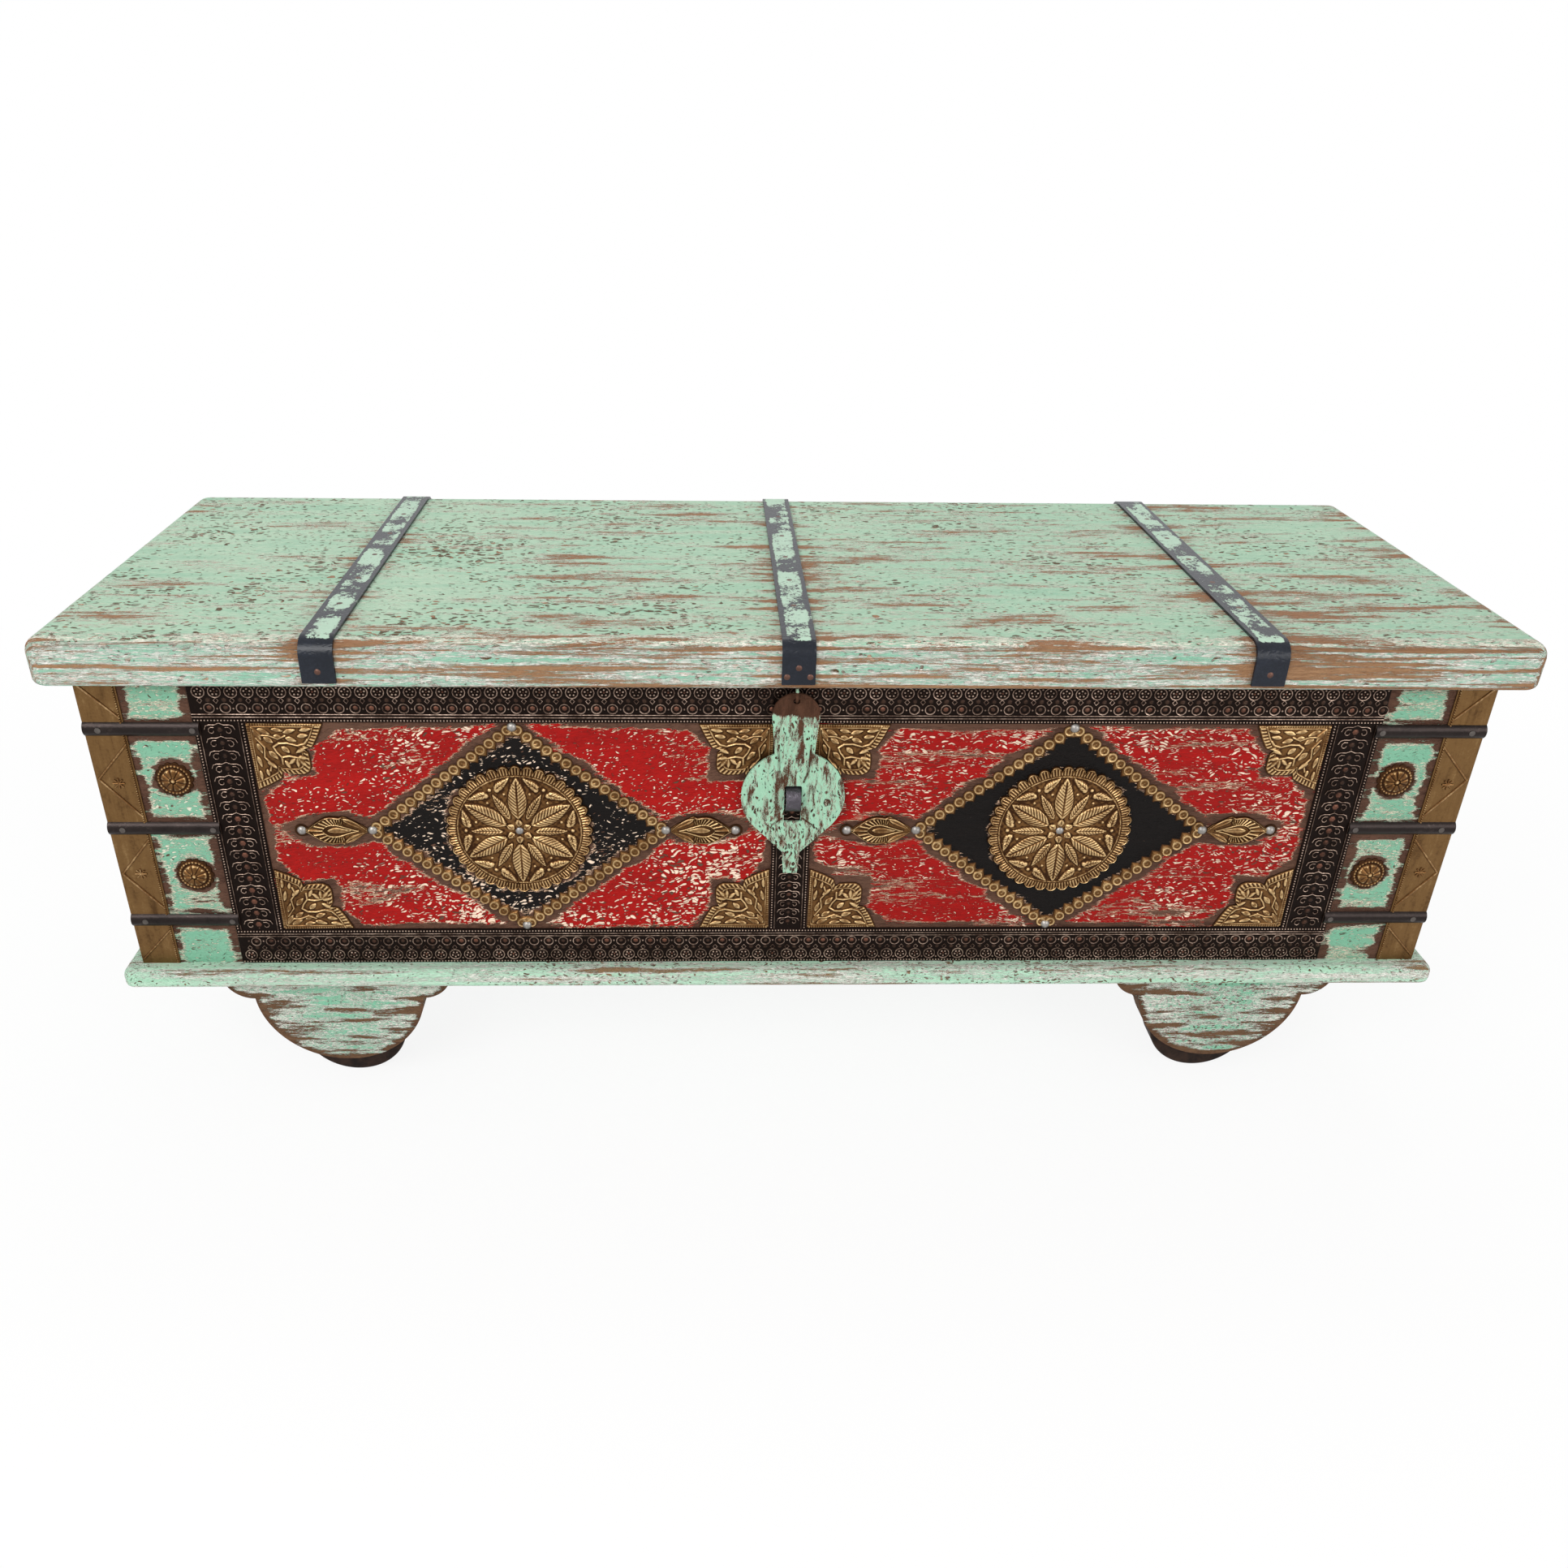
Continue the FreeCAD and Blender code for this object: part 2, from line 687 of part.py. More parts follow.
def hasp():
    """The hasp plate, drawn about the eye's middle, then tilted and hung there."""
    top = hasp_tab - hole_drop
    neck_z = top - hasp_top_radius
    centre_z = -hole_drop - hasp_disc_drop
    r = hasp_disc_radius
    join_z = centre_z + math.sqrt(r ** 2 - hasp_neck_half_width ** 2)
    bottom = centre_z - r - hasp_tail_drop
    tail_z = bottom + hasp_tail_length
    tail_far = math.hypot(hasp_tail_top_half_width, centre_z - tail_z)
    to_tail = math.atan2(tail_z - centre_z, hasp_tail_top_half_width)
    touch = to_tail + math.acos(r / tail_far)
    touch_x = r * math.cos(touch)
    touch_z = centre_z + r * math.sin(touch)
    edges = [
        arc(V(-hasp_top_radius, 0, neck_z), V(0, 0, top), V(hasp_top_radius, 0, neck_z)),
        line(V(hasp_top_radius, 0, neck_z), V(hasp_neck_half_width, 0, join_z)),
        arc(V(hasp_neck_half_width, 0, join_z), V(r, 0, centre_z), V(touch_x, 0, touch_z)),
        line(V(touch_x, 0, touch_z), V(hasp_tail_top_half_width, 0, tail_z)),
        line(V(hasp_tail_top_half_width, 0, tail_z), V(hasp_tail_half_width, 0, bottom)),
        line(V(hasp_tail_half_width, 0, bottom), V(-hasp_tail_half_width, 0, bottom)),
        line(V(-hasp_tail_half_width, 0, bottom), V(-hasp_tail_top_half_width, 0, tail_z)),
        line(V(-hasp_tail_top_half_width, 0, tail_z), V(-touch_x, 0, touch_z)),
        arc(V(-touch_x, 0, touch_z), V(-r, 0, centre_z), V(-hasp_neck_half_width, 0, join_z)),
        line(V(-hasp_neck_half_width, 0, join_z), V(-hasp_top_radius, 0, neck_z)),
    ]
    sheet_iron = prism(edges, V(0, -hasp_thickness, 0))
    sheet_iron.translate(V(0, hasp_thickness / 2, 0))
    hole = rod(hasp_hole_radius, V(0, -overrun, -hole_drop), V(0, overrun, -hole_drop))
    slot_top = -hole_drop - slot_top_drop
    slot = box(-slot_half_width, slot_half_width, -overrun, overrun, slot_top - slot_height, slot_top)
    slot = slot.makeFillet(slot_corner_radius, [e for e in slot.Edges
                                                if abs(e.tangentAt(e.FirstParameter).y) > 0.99])
    sheet_iron = sheet_iron.cut([hole, slot])
    sheet_iron.rotate(V(0, 0, 0), V(1, 0, 0), hasp_tilt)
    sheet_iron.translate(V(0, eye_y, eye_z))
    return sheet_iron


save("staple", staple())
save("hasp_eye", hasp_eye())
save("hasp_plate", hasp())


# Feet: two shaped brackets, a wheel and an axle at each corner
def bracket(y0, y1):
    """A board with quarter-round ears under the base and a round lower end."""
    ear = bracket_ear_radius
    r = bracket_round_radius
    centre_z = base_z - bracket_round_drop
    meet_z = base_z - ear
    meet_x = math.sqrt(r ** 2 - (meet_z - centre_z) ** 2)
    wide = meet_x + ear
    lean = ear * math.sqrt(0.5)
    edges = [
        line(V(-wide, y0, base_z), V(wide, y0, base_z)),
        arc(V(wide, y0, base_z), V(meet_x + lean, y0, base_z - lean), V(meet_x, y0, meet_z)),
        arc(V(meet_x, y0, meet_z), V(0, y0, centre_z - r), V(-meet_x, y0, meet_z)),
        arc(V(-meet_x, y0, meet_z), V(-meet_x - lean, y0, base_z - lean), V(-wide, y0, base_z)),
    ]
    board = prism(edges, V(0, y1 - y0, 0))
    hole = rod(axle_radius + axle_seat_gap, V(0, y0 - overrun, axle_z), V(0, y1 + overrun, axle_z))
    return board.cut(hole)


def wheel(y0, y1):
    disc = rod(wheel_radius, V(0, y0, axle_z), V(0, y1, axle_z))
    rims = [e for e in disc.Edges if e.Closed]
    disc = disc.makeFillet(wheel_rim_radius, rims)
    bore = rod(axle_radius + axle_running_gap, V(0, y0 - overrun, axle_z), V(0, y1 + overrun, axle_z))
    return disc.cut(bore)


def foot_rows(outer_y, inwards):
    """Faces of bracket, wheel and bracket, one behind the other, from the outer face inwards."""
    steps = [0, bracket_thickness, wheel_side_gap, wheel_thickness, wheel_side_gap, bracket_thickness]
    places = []
    reach = 0
    for step in steps:
        reach += step
        places.append(outer_y + inwards * reach)
    return places


feet_rows = {"front": foot_rows(face_y + foot_setback, 1), "rear": foot_rows(back_y - foot_setback, -1)}
axles = []
for end, rows in feet_rows.items():
    for side, x in (("left", -foot_centre_x), ("right", foot_centre_x)):
        name = end + "_" + side
        save("outer_bracket_" + name, moved(bracket(*sorted(rows[0:2])), x, 0, 0))
        save("wheel_" + name, moved(wheel(*sorted(rows[2:4])), x, 0, 0))
        save("inner_bracket_" + name, moved(bracket(*sorted(rows[4:6])), x, 0, 0))
        axles.append(rod(axle_radius, V(x, rows[0], axle_z), V(x, rows[5], axle_z)))
save("wheel_axles", *axles)

print("face_y", face_y, "back_y", back_y, "axis", axis_y, axis_z, "eye", eye_y, eye_z)
print("staple", staple_y, staple_z, "floor", floor_z, "lid", lid_z, lid_top_z)
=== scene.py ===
import math

import bpy
import numpy as np
from mathutils import Matrix, Vector


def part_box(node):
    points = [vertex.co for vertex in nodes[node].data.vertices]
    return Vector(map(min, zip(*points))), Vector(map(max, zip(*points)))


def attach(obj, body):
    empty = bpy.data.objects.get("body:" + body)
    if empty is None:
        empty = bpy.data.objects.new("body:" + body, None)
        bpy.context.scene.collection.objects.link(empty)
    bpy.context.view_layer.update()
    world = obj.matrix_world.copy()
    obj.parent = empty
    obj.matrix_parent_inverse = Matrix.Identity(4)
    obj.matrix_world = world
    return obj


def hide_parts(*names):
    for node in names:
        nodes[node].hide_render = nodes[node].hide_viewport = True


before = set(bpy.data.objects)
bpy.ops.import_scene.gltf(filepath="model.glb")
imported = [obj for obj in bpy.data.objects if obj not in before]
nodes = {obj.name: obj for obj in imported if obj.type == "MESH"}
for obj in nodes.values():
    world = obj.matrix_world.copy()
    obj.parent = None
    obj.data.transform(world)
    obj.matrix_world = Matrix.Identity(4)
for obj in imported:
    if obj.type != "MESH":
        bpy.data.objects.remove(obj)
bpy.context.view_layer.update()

# %% [markdown]
# The chest is already there as exact solids, one object for each board, strap and nail. This
# lesson dresses it: worn paint, aged brass, blackened iron and the embossed ornaments on the
# front. Everything below takes its place from the solids, so the first step is to read the
# few planes that the rest is measured from. All lengths are in metres.

# %% Planes and sizes read from the solids
mm = 0.001
front_low, front_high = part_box("front_board")
lid_low, lid_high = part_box("lid_board")
rim_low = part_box("lid_rim_front")[0]
face_y, side_x = front_low.y, front_high.x
floor_z, top_z = front_low.z, front_high.z
back_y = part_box("back_board")[1].y
sheet_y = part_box("border_top")[0].y
mid_y, mid_z = (face_y + back_y) / 2, (floor_z + top_z) / 2
panel_x = 225.5 * mm
panel_half = (209.5 * mm, 99 * mm)
diamond_half = (121 * mm, 95 * mm)
strap_spacing = 366 * mm
rosette_x, rosette_rise = 499.5 * mm, 45.35 * mm
corner_bars_z = mid_z + 2 * mm
print("front face at y", round(face_y, 5), "chest from z", round(floor_z, 4), "to", round(top_z, 4))

# %% [markdown]
# The camera comes first, because every later choice is judged through it. Its place, tilt and
# lens were worked out from the chest's edges in the photograph. A camera looks along its own
# -Z axis, so its matrix has the right, up and backward directions as its three columns. A small
# sideways shift stands for a picture that was cropped off centre.

# %% Camera at the photograph's viewpoint
def aim(yaw, pitch, roll):
    level = Vector((math.cos(yaw), -math.sin(yaw), 0))
    ahead = Vector((math.sin(yaw), math.cos(yaw), 0))
    forward = math.cos(pitch) * ahead + Vector((0, 0, -math.sin(pitch)))
    upright = level.cross(forward)
    right = math.cos(roll) * level + math.sin(roll) * upright
    up = -math.sin(roll) * level + math.cos(roll) * upright
    return Matrix((right, up, -forward)).transposed().to_4x4()


photo_width, focal_pixels = 1932, 1572.48
lens_data = bpy.data.cameras.new("photo_camera")
lens_data.sensor_fit = "HORIZONTAL"
lens_data.sensor_width = 36.0
lens_data.lens = focal_pixels / photo_width * lens_data.sensor_width
lens_data.shift_x = 0.02726
camera = bpy.data.objects.new("photo_camera", lens_data)
turned = aim(yaw=0.0318952, pitch=0.4953879, roll=0.0160564)
camera.matrix_world = Matrix.Translation((-0.07154, -1.10470, 0.81864)) @ turned
bpy.context.scene.collection.objects.link(camera)
bpy.context.scene.camera = camera
print("lens", round(lens_data.lens, 2), "mm, camera at", [round(v, 3) for v in camera.location])

# %% [markdown]
# Shader nodes are wired by hand in the node editor. In a script the same wiring gets long, so
# these small helpers come before the first material. put() adds one node to the open node tree
# and fills its sockets with numbers, links or colours as a picture editor shows them, 0 to 255.
# What comes out of a node is a Wire, and sums and products of Wires turn into Math nodes, so a
# formula reads as it would on paper.

# %% Helpers for wiring nodes
class Wire:
    """What comes out of a node. A Wire that carries a number can be reckoned with."""

    def __init__(self, socket):
        self.socket = socket

    def __add__(self, other):
        return calc("ADD", self, other)

    def __sub__(self, other):
        return calc("SUBTRACT", self, other)

    def __rsub__(self, other):
        return calc("SUBTRACT", other, self)

    def __mul__(self, other):
        return calc("MULTIPLY", self, other)

    def __truediv__(self, other):
        return calc("DIVIDE", self, other)

    def __abs__(self):
        return calc("ABSOLUTE", self)

    __radd__, __rmul__ = __add__, __mul__


def open_tree(opened):
    """All helpers add their nodes to the tree that was opened last."""
    global tree
    tree = opened


def light_values(red, green, blue):
    """The light values that shaders use, worked out from 0 to 255 values."""
    return tuple(((c / 255 + 0.055) / 1.055) ** 2.4 if c > 10 else c / 255 / 12.92
                 for c in (red, green, blue)) + (1.0,)


def join(value, socket):
    if isinstance(value, Wire):
        tree.links.new(value.socket, socket)
    else:
        socket.default_value = light_values(*value) if socket.type == "RGBA" else value


def fill(node, inputs):
    for key, value in inputs.items():
        join(value, node.inputs[key])


def put(kind, inputs, **settings):
    made = tree.nodes.new("ShaderNode" + kind)
    for key, value in settings.items():
        setattr(made, key, value)
    fill(made, inputs)
    return made


def wires(node):
    """What a node puts out, by name."""
    return {socket.name: Wire(socket) for socket in node.outputs}


def calc(operation, *values):
    return Wire(put("Math", dict(enumerate(values)), operation=operation).outputs[0])


def vector_calc(operation, *values):
    return Wire(put("VectorMath", dict(enumerate(values)), operation=operation).outputs[0])


def axes(vector):
    return [Wire(socket) for socket in put("SeparateXYZ", {0: vector}).outputs]


print("mint paint as light values:", [round(c, 3) for c in light_values(188, 209, 188)])

# %% [markdown]
# Five more helpers are used all the time. least() and most() pick the smallest or largest of
# several numbers. fade() is a Map Range node that rises smoothly from 0 to 1 between two values.
# blend() mixes two numbers, vectors or colours, and sway() is a noise about zero, so that it can
# push a number up and down.

# %% Helpers for shaping numbers
def least(first, *others):
    for other in others:
        first = calc("MINIMUM", first, other)
    return first


def most(first, *others):
    for other in others:
        first = calc("MAXIMUM", first, other)
    return first


def fade(value, start, end, low=0.0):
    return Wire(put("MapRange", {"Value": value, "From Min": start, "From Max": end, "To Min": low},
                    interpolation_type="SMOOTHSTEP").outputs[0])


mix_sockets = {"FLOAT": (2, 3, 0), "VECTOR": (4, 5, 1), "RGBA": (6, 7, 2)}


def blend(share, a, b, kind="RGBA"):
    first, second, mixed = mix_sockets[kind]
    return Wire(put("Mix", {0: share, first: a, second: b}, data_type=kind).outputs[mixed])


def noise(vector, scale, detail=3.0, roughness=0.55):
    return Wire(put("TexNoise", {"Vector": vector, "Scale": scale, "Detail": detail,
                                 "Roughness": roughness}).outputs["Fac"])


def sway(vector, scale, detail=3.0, roughness=0.55):
    return noise(vector, scale, detail, roughness) - 0.5


def own_place():
    """The object's own coordinates."""
    return wires(put("TexCoord", {}))["Object"]


print("number helpers are ready")

# %% [markdown]
# The stage is a white studio. A floor that is simply bright would throw light up at the chest,
# so the floor has an ordinary pale material, and only what the camera or a reflection sees is
# mixed towards plain white. Near the chest the mix is not complete, so the chest keeps its
# shadow, and further out it rises until the floor meets the backdrop without an edge. The world
# does the same: it lights the chest at a moderate level and shows white behind it.

# %% Floor and world
white = (255, 255, 255)


def seen_directly():
    """1 for rays from the camera and from mirrors or glass, 0 for the light that falls on things."""
    path = wires(put("LightPath", {}))
    return most(*(path[f"Is {kind} Ray"] for kind in ("Camera", "Glossy", "Transmission")))


def show(share, a, b, output):
    """The shader a, mixed with the shader b, is what the tree puts out."""
    mixed = put("MixShader", {0: share, 1: Wire(a.outputs[0]), 2: Wire(b.outputs[0])})
    join(Wire(mixed.outputs[0]), tree.nodes[output].inputs["Surface"])


bpy.ops.object.select_all(action="DESELECT")
bpy.ops.mesh.primitive_plane_add(size=60, location=(0, 0, 0))
studio_floor = bpy.context.object
studio_floor.name = "studio_floor"
floor_paint = bpy.data.materials.new("studio_floor_paint")
floor_paint.use_nodes = True
open_tree(floor_paint.node_tree)
matt = tree.nodes["Principled BSDF"]
fill(matt, {"Base Color": (248, 248, 247), "Roughness": 0.9})
from_chest = wires(put("VectorMath", {0: own_place()}, operation="LENGTH"))["Value"]
whiteness = fade(from_chest, 0.6, 1.6, low=0.88)
plain_white = put("Emission", {"Color": white, "Strength": 1.0})
show(seen_directly() * whiteness, matt, plain_white, "Material Output")
studio_floor.data.materials.append(floor_paint)

world = bpy.data.worlds.new("studio_world")
bpy.context.scene.world = world
world.use_nodes = True
open_tree(world.node_tree)
soft_light = tree.nodes["Background"]
fill(soft_light, {"Color": white, "Strength": 0.5})
backdrop = put("Background", {"Color": white, "Strength": 1.0})
show(seen_directly(), soft_light, backdrop, "World Output")
print("floor and world are ready")

# %% [markdown]
# Three soft lamps do the rest. A large one high in front on the left is the key light, a weaker
# one on the right fills the shadows, and one behind gives the lid its even glow. Their power is
# set so that a painted surface renders at about the colour it was given.

# %% Lamps
def lamp(name, place, target, size, power):
    data = bpy.data.lights.new(name, "AREA")
    data.shape = "RECTANGLE"
    data.size, data.size_y = size
    data.energy = power
    made = bpy.data.objects.new(name, data)
    made.location = place
    made.rotation_euler = (Vector(target) - Vector(place)).to_track_quat("-Z", "Y").to_euler()
    bpy.context.scene.collection.objects.link(made)


lamp("key_lamp", (-1.3, -2.0, 2.0), (0, 0, 0.25), (1.8, 1.2), 46)
lamp("fill_lamp", (1.8, -1.9, 1.1), (0, 0, 0.25), (1.4, 1.2), 18)
lamp("back_lamp", (0.3, 1.2, 2.4), (0, 0, 0.4), (2.0, 1.0), 16)
bpy.context.scene.view_settings.view_transform = "Standard"

# %% [markdown]
# Paint wears off along edges first. So the first node group is a ruler: given the middle and
# the half size of a box, it puts out how far a point is from the nearest edge of that box, and
# how deep it lies inside. The distances to the three pairs of faces are sorted: the smallest is
# the depth, and the middle one is the distance to an edge. It works on any piece, however coarse
# its mesh, which is why it is used here rather than a node that looks at the mesh's corners.

# %% Node group: box ruler
def new_group(name, inputs, outputs):
    """inputs and outputs list the sockets' labels under each kind of socket."""
    group = bpy.data.node_groups.new(name, "ShaderNodeTree")
    for way, kinds in (("INPUT", inputs), ("OUTPUT", outputs)):
        for kind, labels in kinds.items():
            for label in labels:
                group.interface.new_socket(label, in_out=way, socket_type="NodeSocket" + kind)
    open_tree(group)
    return group, wires(group.nodes.new("NodeGroupInput")), group.nodes.new("NodeGroupOutput").inputs


box_ruler, given, result = new_group("box_ruler", {"Vector": ("Vector", "Middle", "Half size")},
                                     {"Float": ("Edge", "Depth")})
away = vector_calc("ABSOLUTE", vector_calc("SUBTRACT", given["Vector"], given["Middle"]))
gap_x, gap_y, gap_z = axes(vector_calc("SUBTRACT", given["Half size"], away))
lower, upper = least(gap_x, gap_y), most(gap_x, gap_y)
join(most(lower, least(upper, gap_z)), result["Edge"])
join(least(lower, gap_z), result["Depth"])
print("group", box_ruler.name, "has", len(box_ruler.nodes), "nodes")

# %% [markdown]
# The paint itself has three layers: brown wood, a cream ground, and the colour on top. Someone
# has rubbed it down along the grain, so it peels in ragged streaks, and the small gouges of a
# hammered surface show as dashes. One number, the wear, is pushed up and down by a noise that is
# stretched along the grain. Its many octaves give large patches with finely torn edges at once:
# where the sum is high the wood shows, where it is a bit lower the cream does. That order gives
# the brown streaks their cream fringe, and a second noise breaks the fringe off here and there.

# %% Node group: worn paint
worn_paint, given, result = new_group(
    "worn_paint",
    {"Vector": ("Vector", "Grain", "Dash grain"),
     "Color": ("Paint", "Shade", "Ground", "Wood", "Wood light", "Dash colour"),
     "Float": ("Wear", "Fringe", "Dashes")},
    {"Color": ("Color",), "Float": ("Roughness", "Height", "Bare")})
along_grain = vector_calc("MULTIPLY", given["Vector"], given["Grain"])
torn = sway(along_grain, 9.0, 9.0, 0.66)
hair = sway(along_grain, 170.0, 4.0, 0.7)
broad = sway(given["Vector"], 8.0, 2.0)
peel = given["Wear"] + 2.3 * torn + 0.95 * hair
bare = fade(peel, 0.485, 0.515)
ground = fade(peel + given["Fringe"] * fade(hair, -0.16, 0.14), 0.485, 0.515)
print("peeling layers wired")

# %% [markdown]
# The dashes are the small hollows that a tool left all over the wood. Voronoi cells have about
# the same spacing as tool marks, so each cell gets one dash round its middle, longer than high,
# and of a size that luck and a broad noise decide. The coordinates are pushed about by a noise
# before the cells are laid out, which bends and tilts the dashes.

# %% Worn paint: the dashes and the mixing of colours
drift = wires(put("TexNoise", {"Vector": given["Vector"], "Scale": 55.0, "Detail": 2.0}))["Color"]
drift = vector_calc("SUBTRACT", drift, (0.5, 0.5, 0.5))
bent = vector_calc("MULTIPLY_ADD", drift, (0.018, 0.018, 0.018), given["Vector"])
cell_places = vector_calc("MULTIPLY", bent, given["Dash grain"])
cells = wires(put("TexVoronoi", {"Vector": cell_places, "Scale": 250.0, "Randomness": 0.9}, feature="F1"))
size_luck, grime_luck, depth_luck = wires(put("SeparateColor", {0: cells["Color"]})).values()
from_cell = cells["Distance"]
reach = given["Dashes"] * (0.25 + 0.75 * size_luck) * (1.0 + 3.4 * broad) + 0.3 * hair
dash = fade(reach - from_cell, -0.05, 0.05)
coat = blend(fade(0.45 + 1.4 * torn + 1.4 * hair, 0.0, 1.0), given["Paint"], given["Shade"])
pitted = blend(fade(depth_luck, 0.8, 0.84), given["Dash colour"], given["Wood light"])
cream = blend(0.25 * fade(grime_luck, 0.72, 0.95), given["Ground"], given["Wood light"])
timber = blend(fade(1.3 * torn + hair, -0.2, 0.26), given["Wood"], given["Wood light"])
join(blend(bare, blend(ground, blend(dash, coat, pitted), cream), timber), result["Color"])
join(bare, result["Bare"])
join(0.48 + 0.15 * bare, result["Roughness"])
thickness = 1.0 - most(bare, dash, 0.5 * ground) + 0.6 * hair
join(thickness + 0.45 * fade(from_cell, 0.0, 0.5), result["Height"])
print("group", worn_paint.name, "has", len(worn_paint.nodes), "nodes")

# %% [markdown]
# Old metal is darker in its hollows, partly from patina and partly as painted shade, and its ridges
# carry a light colour that is a painted highlight. Embossed sheet shows that best: hollows nearly
# black, ridges painted shining. The group takes a relief value from 0 in the hollows to 1 on the
# ridges, disturbs it with noise for stains, and mixes three colours.

# %% Node group: old metal
old_metal, given, result = new_group(
    "old_metal", {"Vector": ("Vector",), "Color": ("Hollow", "Body", "Highlight"), "Float": ("Relief",)},
    {"Color": ("Color",), "Float": ("Roughness", "Height")})
stain = sway(given["Vector"], 60.0, 4.0, 0.6)
speck = sway(given["Vector"], 420.0, 3.0, 0.6)
level = given["Relief"] + 0.7 * stain + 0.55 * speck
colour = blend(fade(level, 0.05, 0.5), given["Hollow"], given["Body"])
join(blend(fade(level, 0.5, 1.0), colour, given["Highlight"]), result["Color"])
join(0.5 - 0.16 * level, result["Roughness"])
join(speck + 0.6 * stain, result["Height"])
print("group", old_metal.name, "has", len(old_metal.nodes), "nodes")

# %% [markdown]
# A material is then short: take the object's coordinates, work out how worn each place is, place
# the group, and wire its outputs into a Principled BSDF with a Bump node for the height. These
# functions hold what all paints share. bare_inside() is for the wood that was never painted: it
# finds the inside of a box and raises the wear there past anything that the noise can cover.

# %% Shared parts of the materials
cream_ground = (222, 216, 194)
dark_wood, dark_wood_light = (84, 58, 42), (122, 92, 68)


def new_material(name):
    material = bpy.data.materials.new(name)
    material.use_nodes = True
    open_tree(material.node_tree)
    return material, tree.nodes["Principled BSDF"], own_place()


def raise_bump(shader, height, distance):
    bump = put("Bump", {"Height": height, "Strength": 1.0, "Distance": distance})
    join(Wire(bump.outputs[0]), shader.inputs["Normal"])


def paint_layers(shader, place, wear, dashes, paint, shade, wood=(dark_wood, dark_wood_light),
                 ground=cream_ground, dash_colour=None, fringe=0.13, grain=(1.0, 4.5, 4.5),
                 dash_grain=(0.7, 1.5, 1.5), bump=0.5 * mm):
    layers = wires(put("Group", {
        "Vector": place, "Grain": grain, "Dash grain": dash_grain, "Paint": paint, "Shade": shade,
        "Ground": ground, "Wood": wood[0], "Wood light": wood[1], "Dash colour": dash_colour or ground,
        "Wear": wear, "Fringe": fringe, "Dashes": dashes}, node_tree=worn_paint))
    fill(shader, {"Base Color": layers["Color"], "Roughness": layers["Roughness"],
                  "Specular IOR Level": 0.1})
    raise_bump(shader, layers["Height"], bump)
    return layers


def measure(what, place, middle, half):
    """The box ruler's Edge or Depth."""
    ruler = put("Group", {"Vector": place, "Middle": middle, "Half size": half}, node_tree=box_ruler)
    return wires(ruler)[what]


def bare_inside(place, middle, half):
    return 3.0 * fade(measure("Depth", place, middle, half), -0.1 * mm, 0.1 * mm)


def from_strap(x):
    """The distance along X to the nearest of the three lid straps."""
    return least(abs(abs(x) - strap_spacing), abs(x))


def dress(material, *names):
    for name in names:
        data = nodes[name].data
        data.materials.clear()
        data.materials.append(material)


print("paint helpers are ready")

# %% [markdown]
# The lid is one slab of pale mint. It is rubbed through in long brown streaks, more so along the
# front, where the top turns over into the nose: there a rough cream and brown band runs the whole
# length, its extra cream partly wear and partly a painted highlight on the rough bend, and the nose
# below it has finer streaks and livelier colours, painted lighter than the flat's to stand in for
# light on a face that turns down away from the lamps. Dark specks are scattered over the flat.
# Inside the rim the wood was never painted.

# %% Lid paint
lid_mid_y = (lid_low.y + lid_high.y) / 2
lid_middle = ((lid_low.x + lid_high.x) / 2, lid_mid_y, (rim_low.z + lid_high.z) / 2)
lid_half = (lid_high.x, (lid_high.y - lid_low.y) / 2, (lid_high.z - rim_low.z) / 2)
rim_width = 59.5 * mm
hollow_half = (lid_half[0] - rim_width, lid_half[1] - rim_width, 14.3 * mm)
lid_paint, shader, place = new_material("lid_paint")
x, y, z = axes(place)
front_band = fade(abs(y - (face_y - 6 * mm)), 13 * mm, 3 * mm)
nose = fade(y, lid_low.y + 7 * mm, lid_low.y + 1 * mm)
at_ends = fade(abs(x), 0.53, 0.59)
right_of_middle = fade(abs(x - 0.17), 0.34, 0.10)
edge = measure("Edge", place, lid_middle, lid_half)
wear = 0.24 + 0.11 * x + 0.6 * sway(place, 4.0, 1.0) + 0.08 * fade(edge, 9 * mm, 1 * mm)
wear = wear + 0.1 * at_ends + 0.1 * front_band + 0.07 * right_of_middle + 0.13 * nose
wear = wear + 0.14 * fade(from_strap(x), 40 * mm, 14 * mm)
wear = wear + bare_inside(place, (0, lid_mid_y, rim_low.z), hollow_half)
# Each pair holds the flat's colour and the nose's. The nose's are painted lighter, painted light that
# makes up for the nose facing down, away from the lamps.
lid_flat_and_lightened_nose = {"mint": ((156, 200, 172), (150, 212, 182)), "pale": ((222, 235, 210), (208, 242, 218)),
               "wood": ((124, 84, 58), (122, 82, 56)), "light wood": ((162, 122, 92), (180, 140, 104)),
               "cream": ((246, 244, 226), (255, 254, 244))}
lid_mix = {key: blend(nose, *pair) for key, pair in lid_flat_and_lightened_nose.items()}
from_bend = vector_calc("SUBTRACT", place, (0.0, lid_low.y + 4 * mm, lid_high.z - 3 * mm))
# The larger fringe on the front band and the nose adds cream that is partly wear and partly a painted
# highlight along the rough bend.
paint_layers(shader, from_bend, wear, 0.38 + 0.2 * front_band, lid_mix["mint"], lid_mix["pale"],
             wood=(lid_mix["wood"], lid_mix["light wood"]), ground=lid_mix["cream"],
             fringe=0.15 + 0.24 * most(front_band, nose), dash_colour=(98, 78, 54),
             grain=blend(nose, (0.9, 7.5, 7.5), (0.7, 21.0, 21.0), "VECTOR"),
             dash_grain=(0.42, 1.15, 1.15), bump=1.8 * mm)
dress(lid_paint, "lid_board", "lid_rim_front", "lid_rim_back", "lid_rim_left", "lid_rim_right")
print("lid painted:", lid_paint.name)
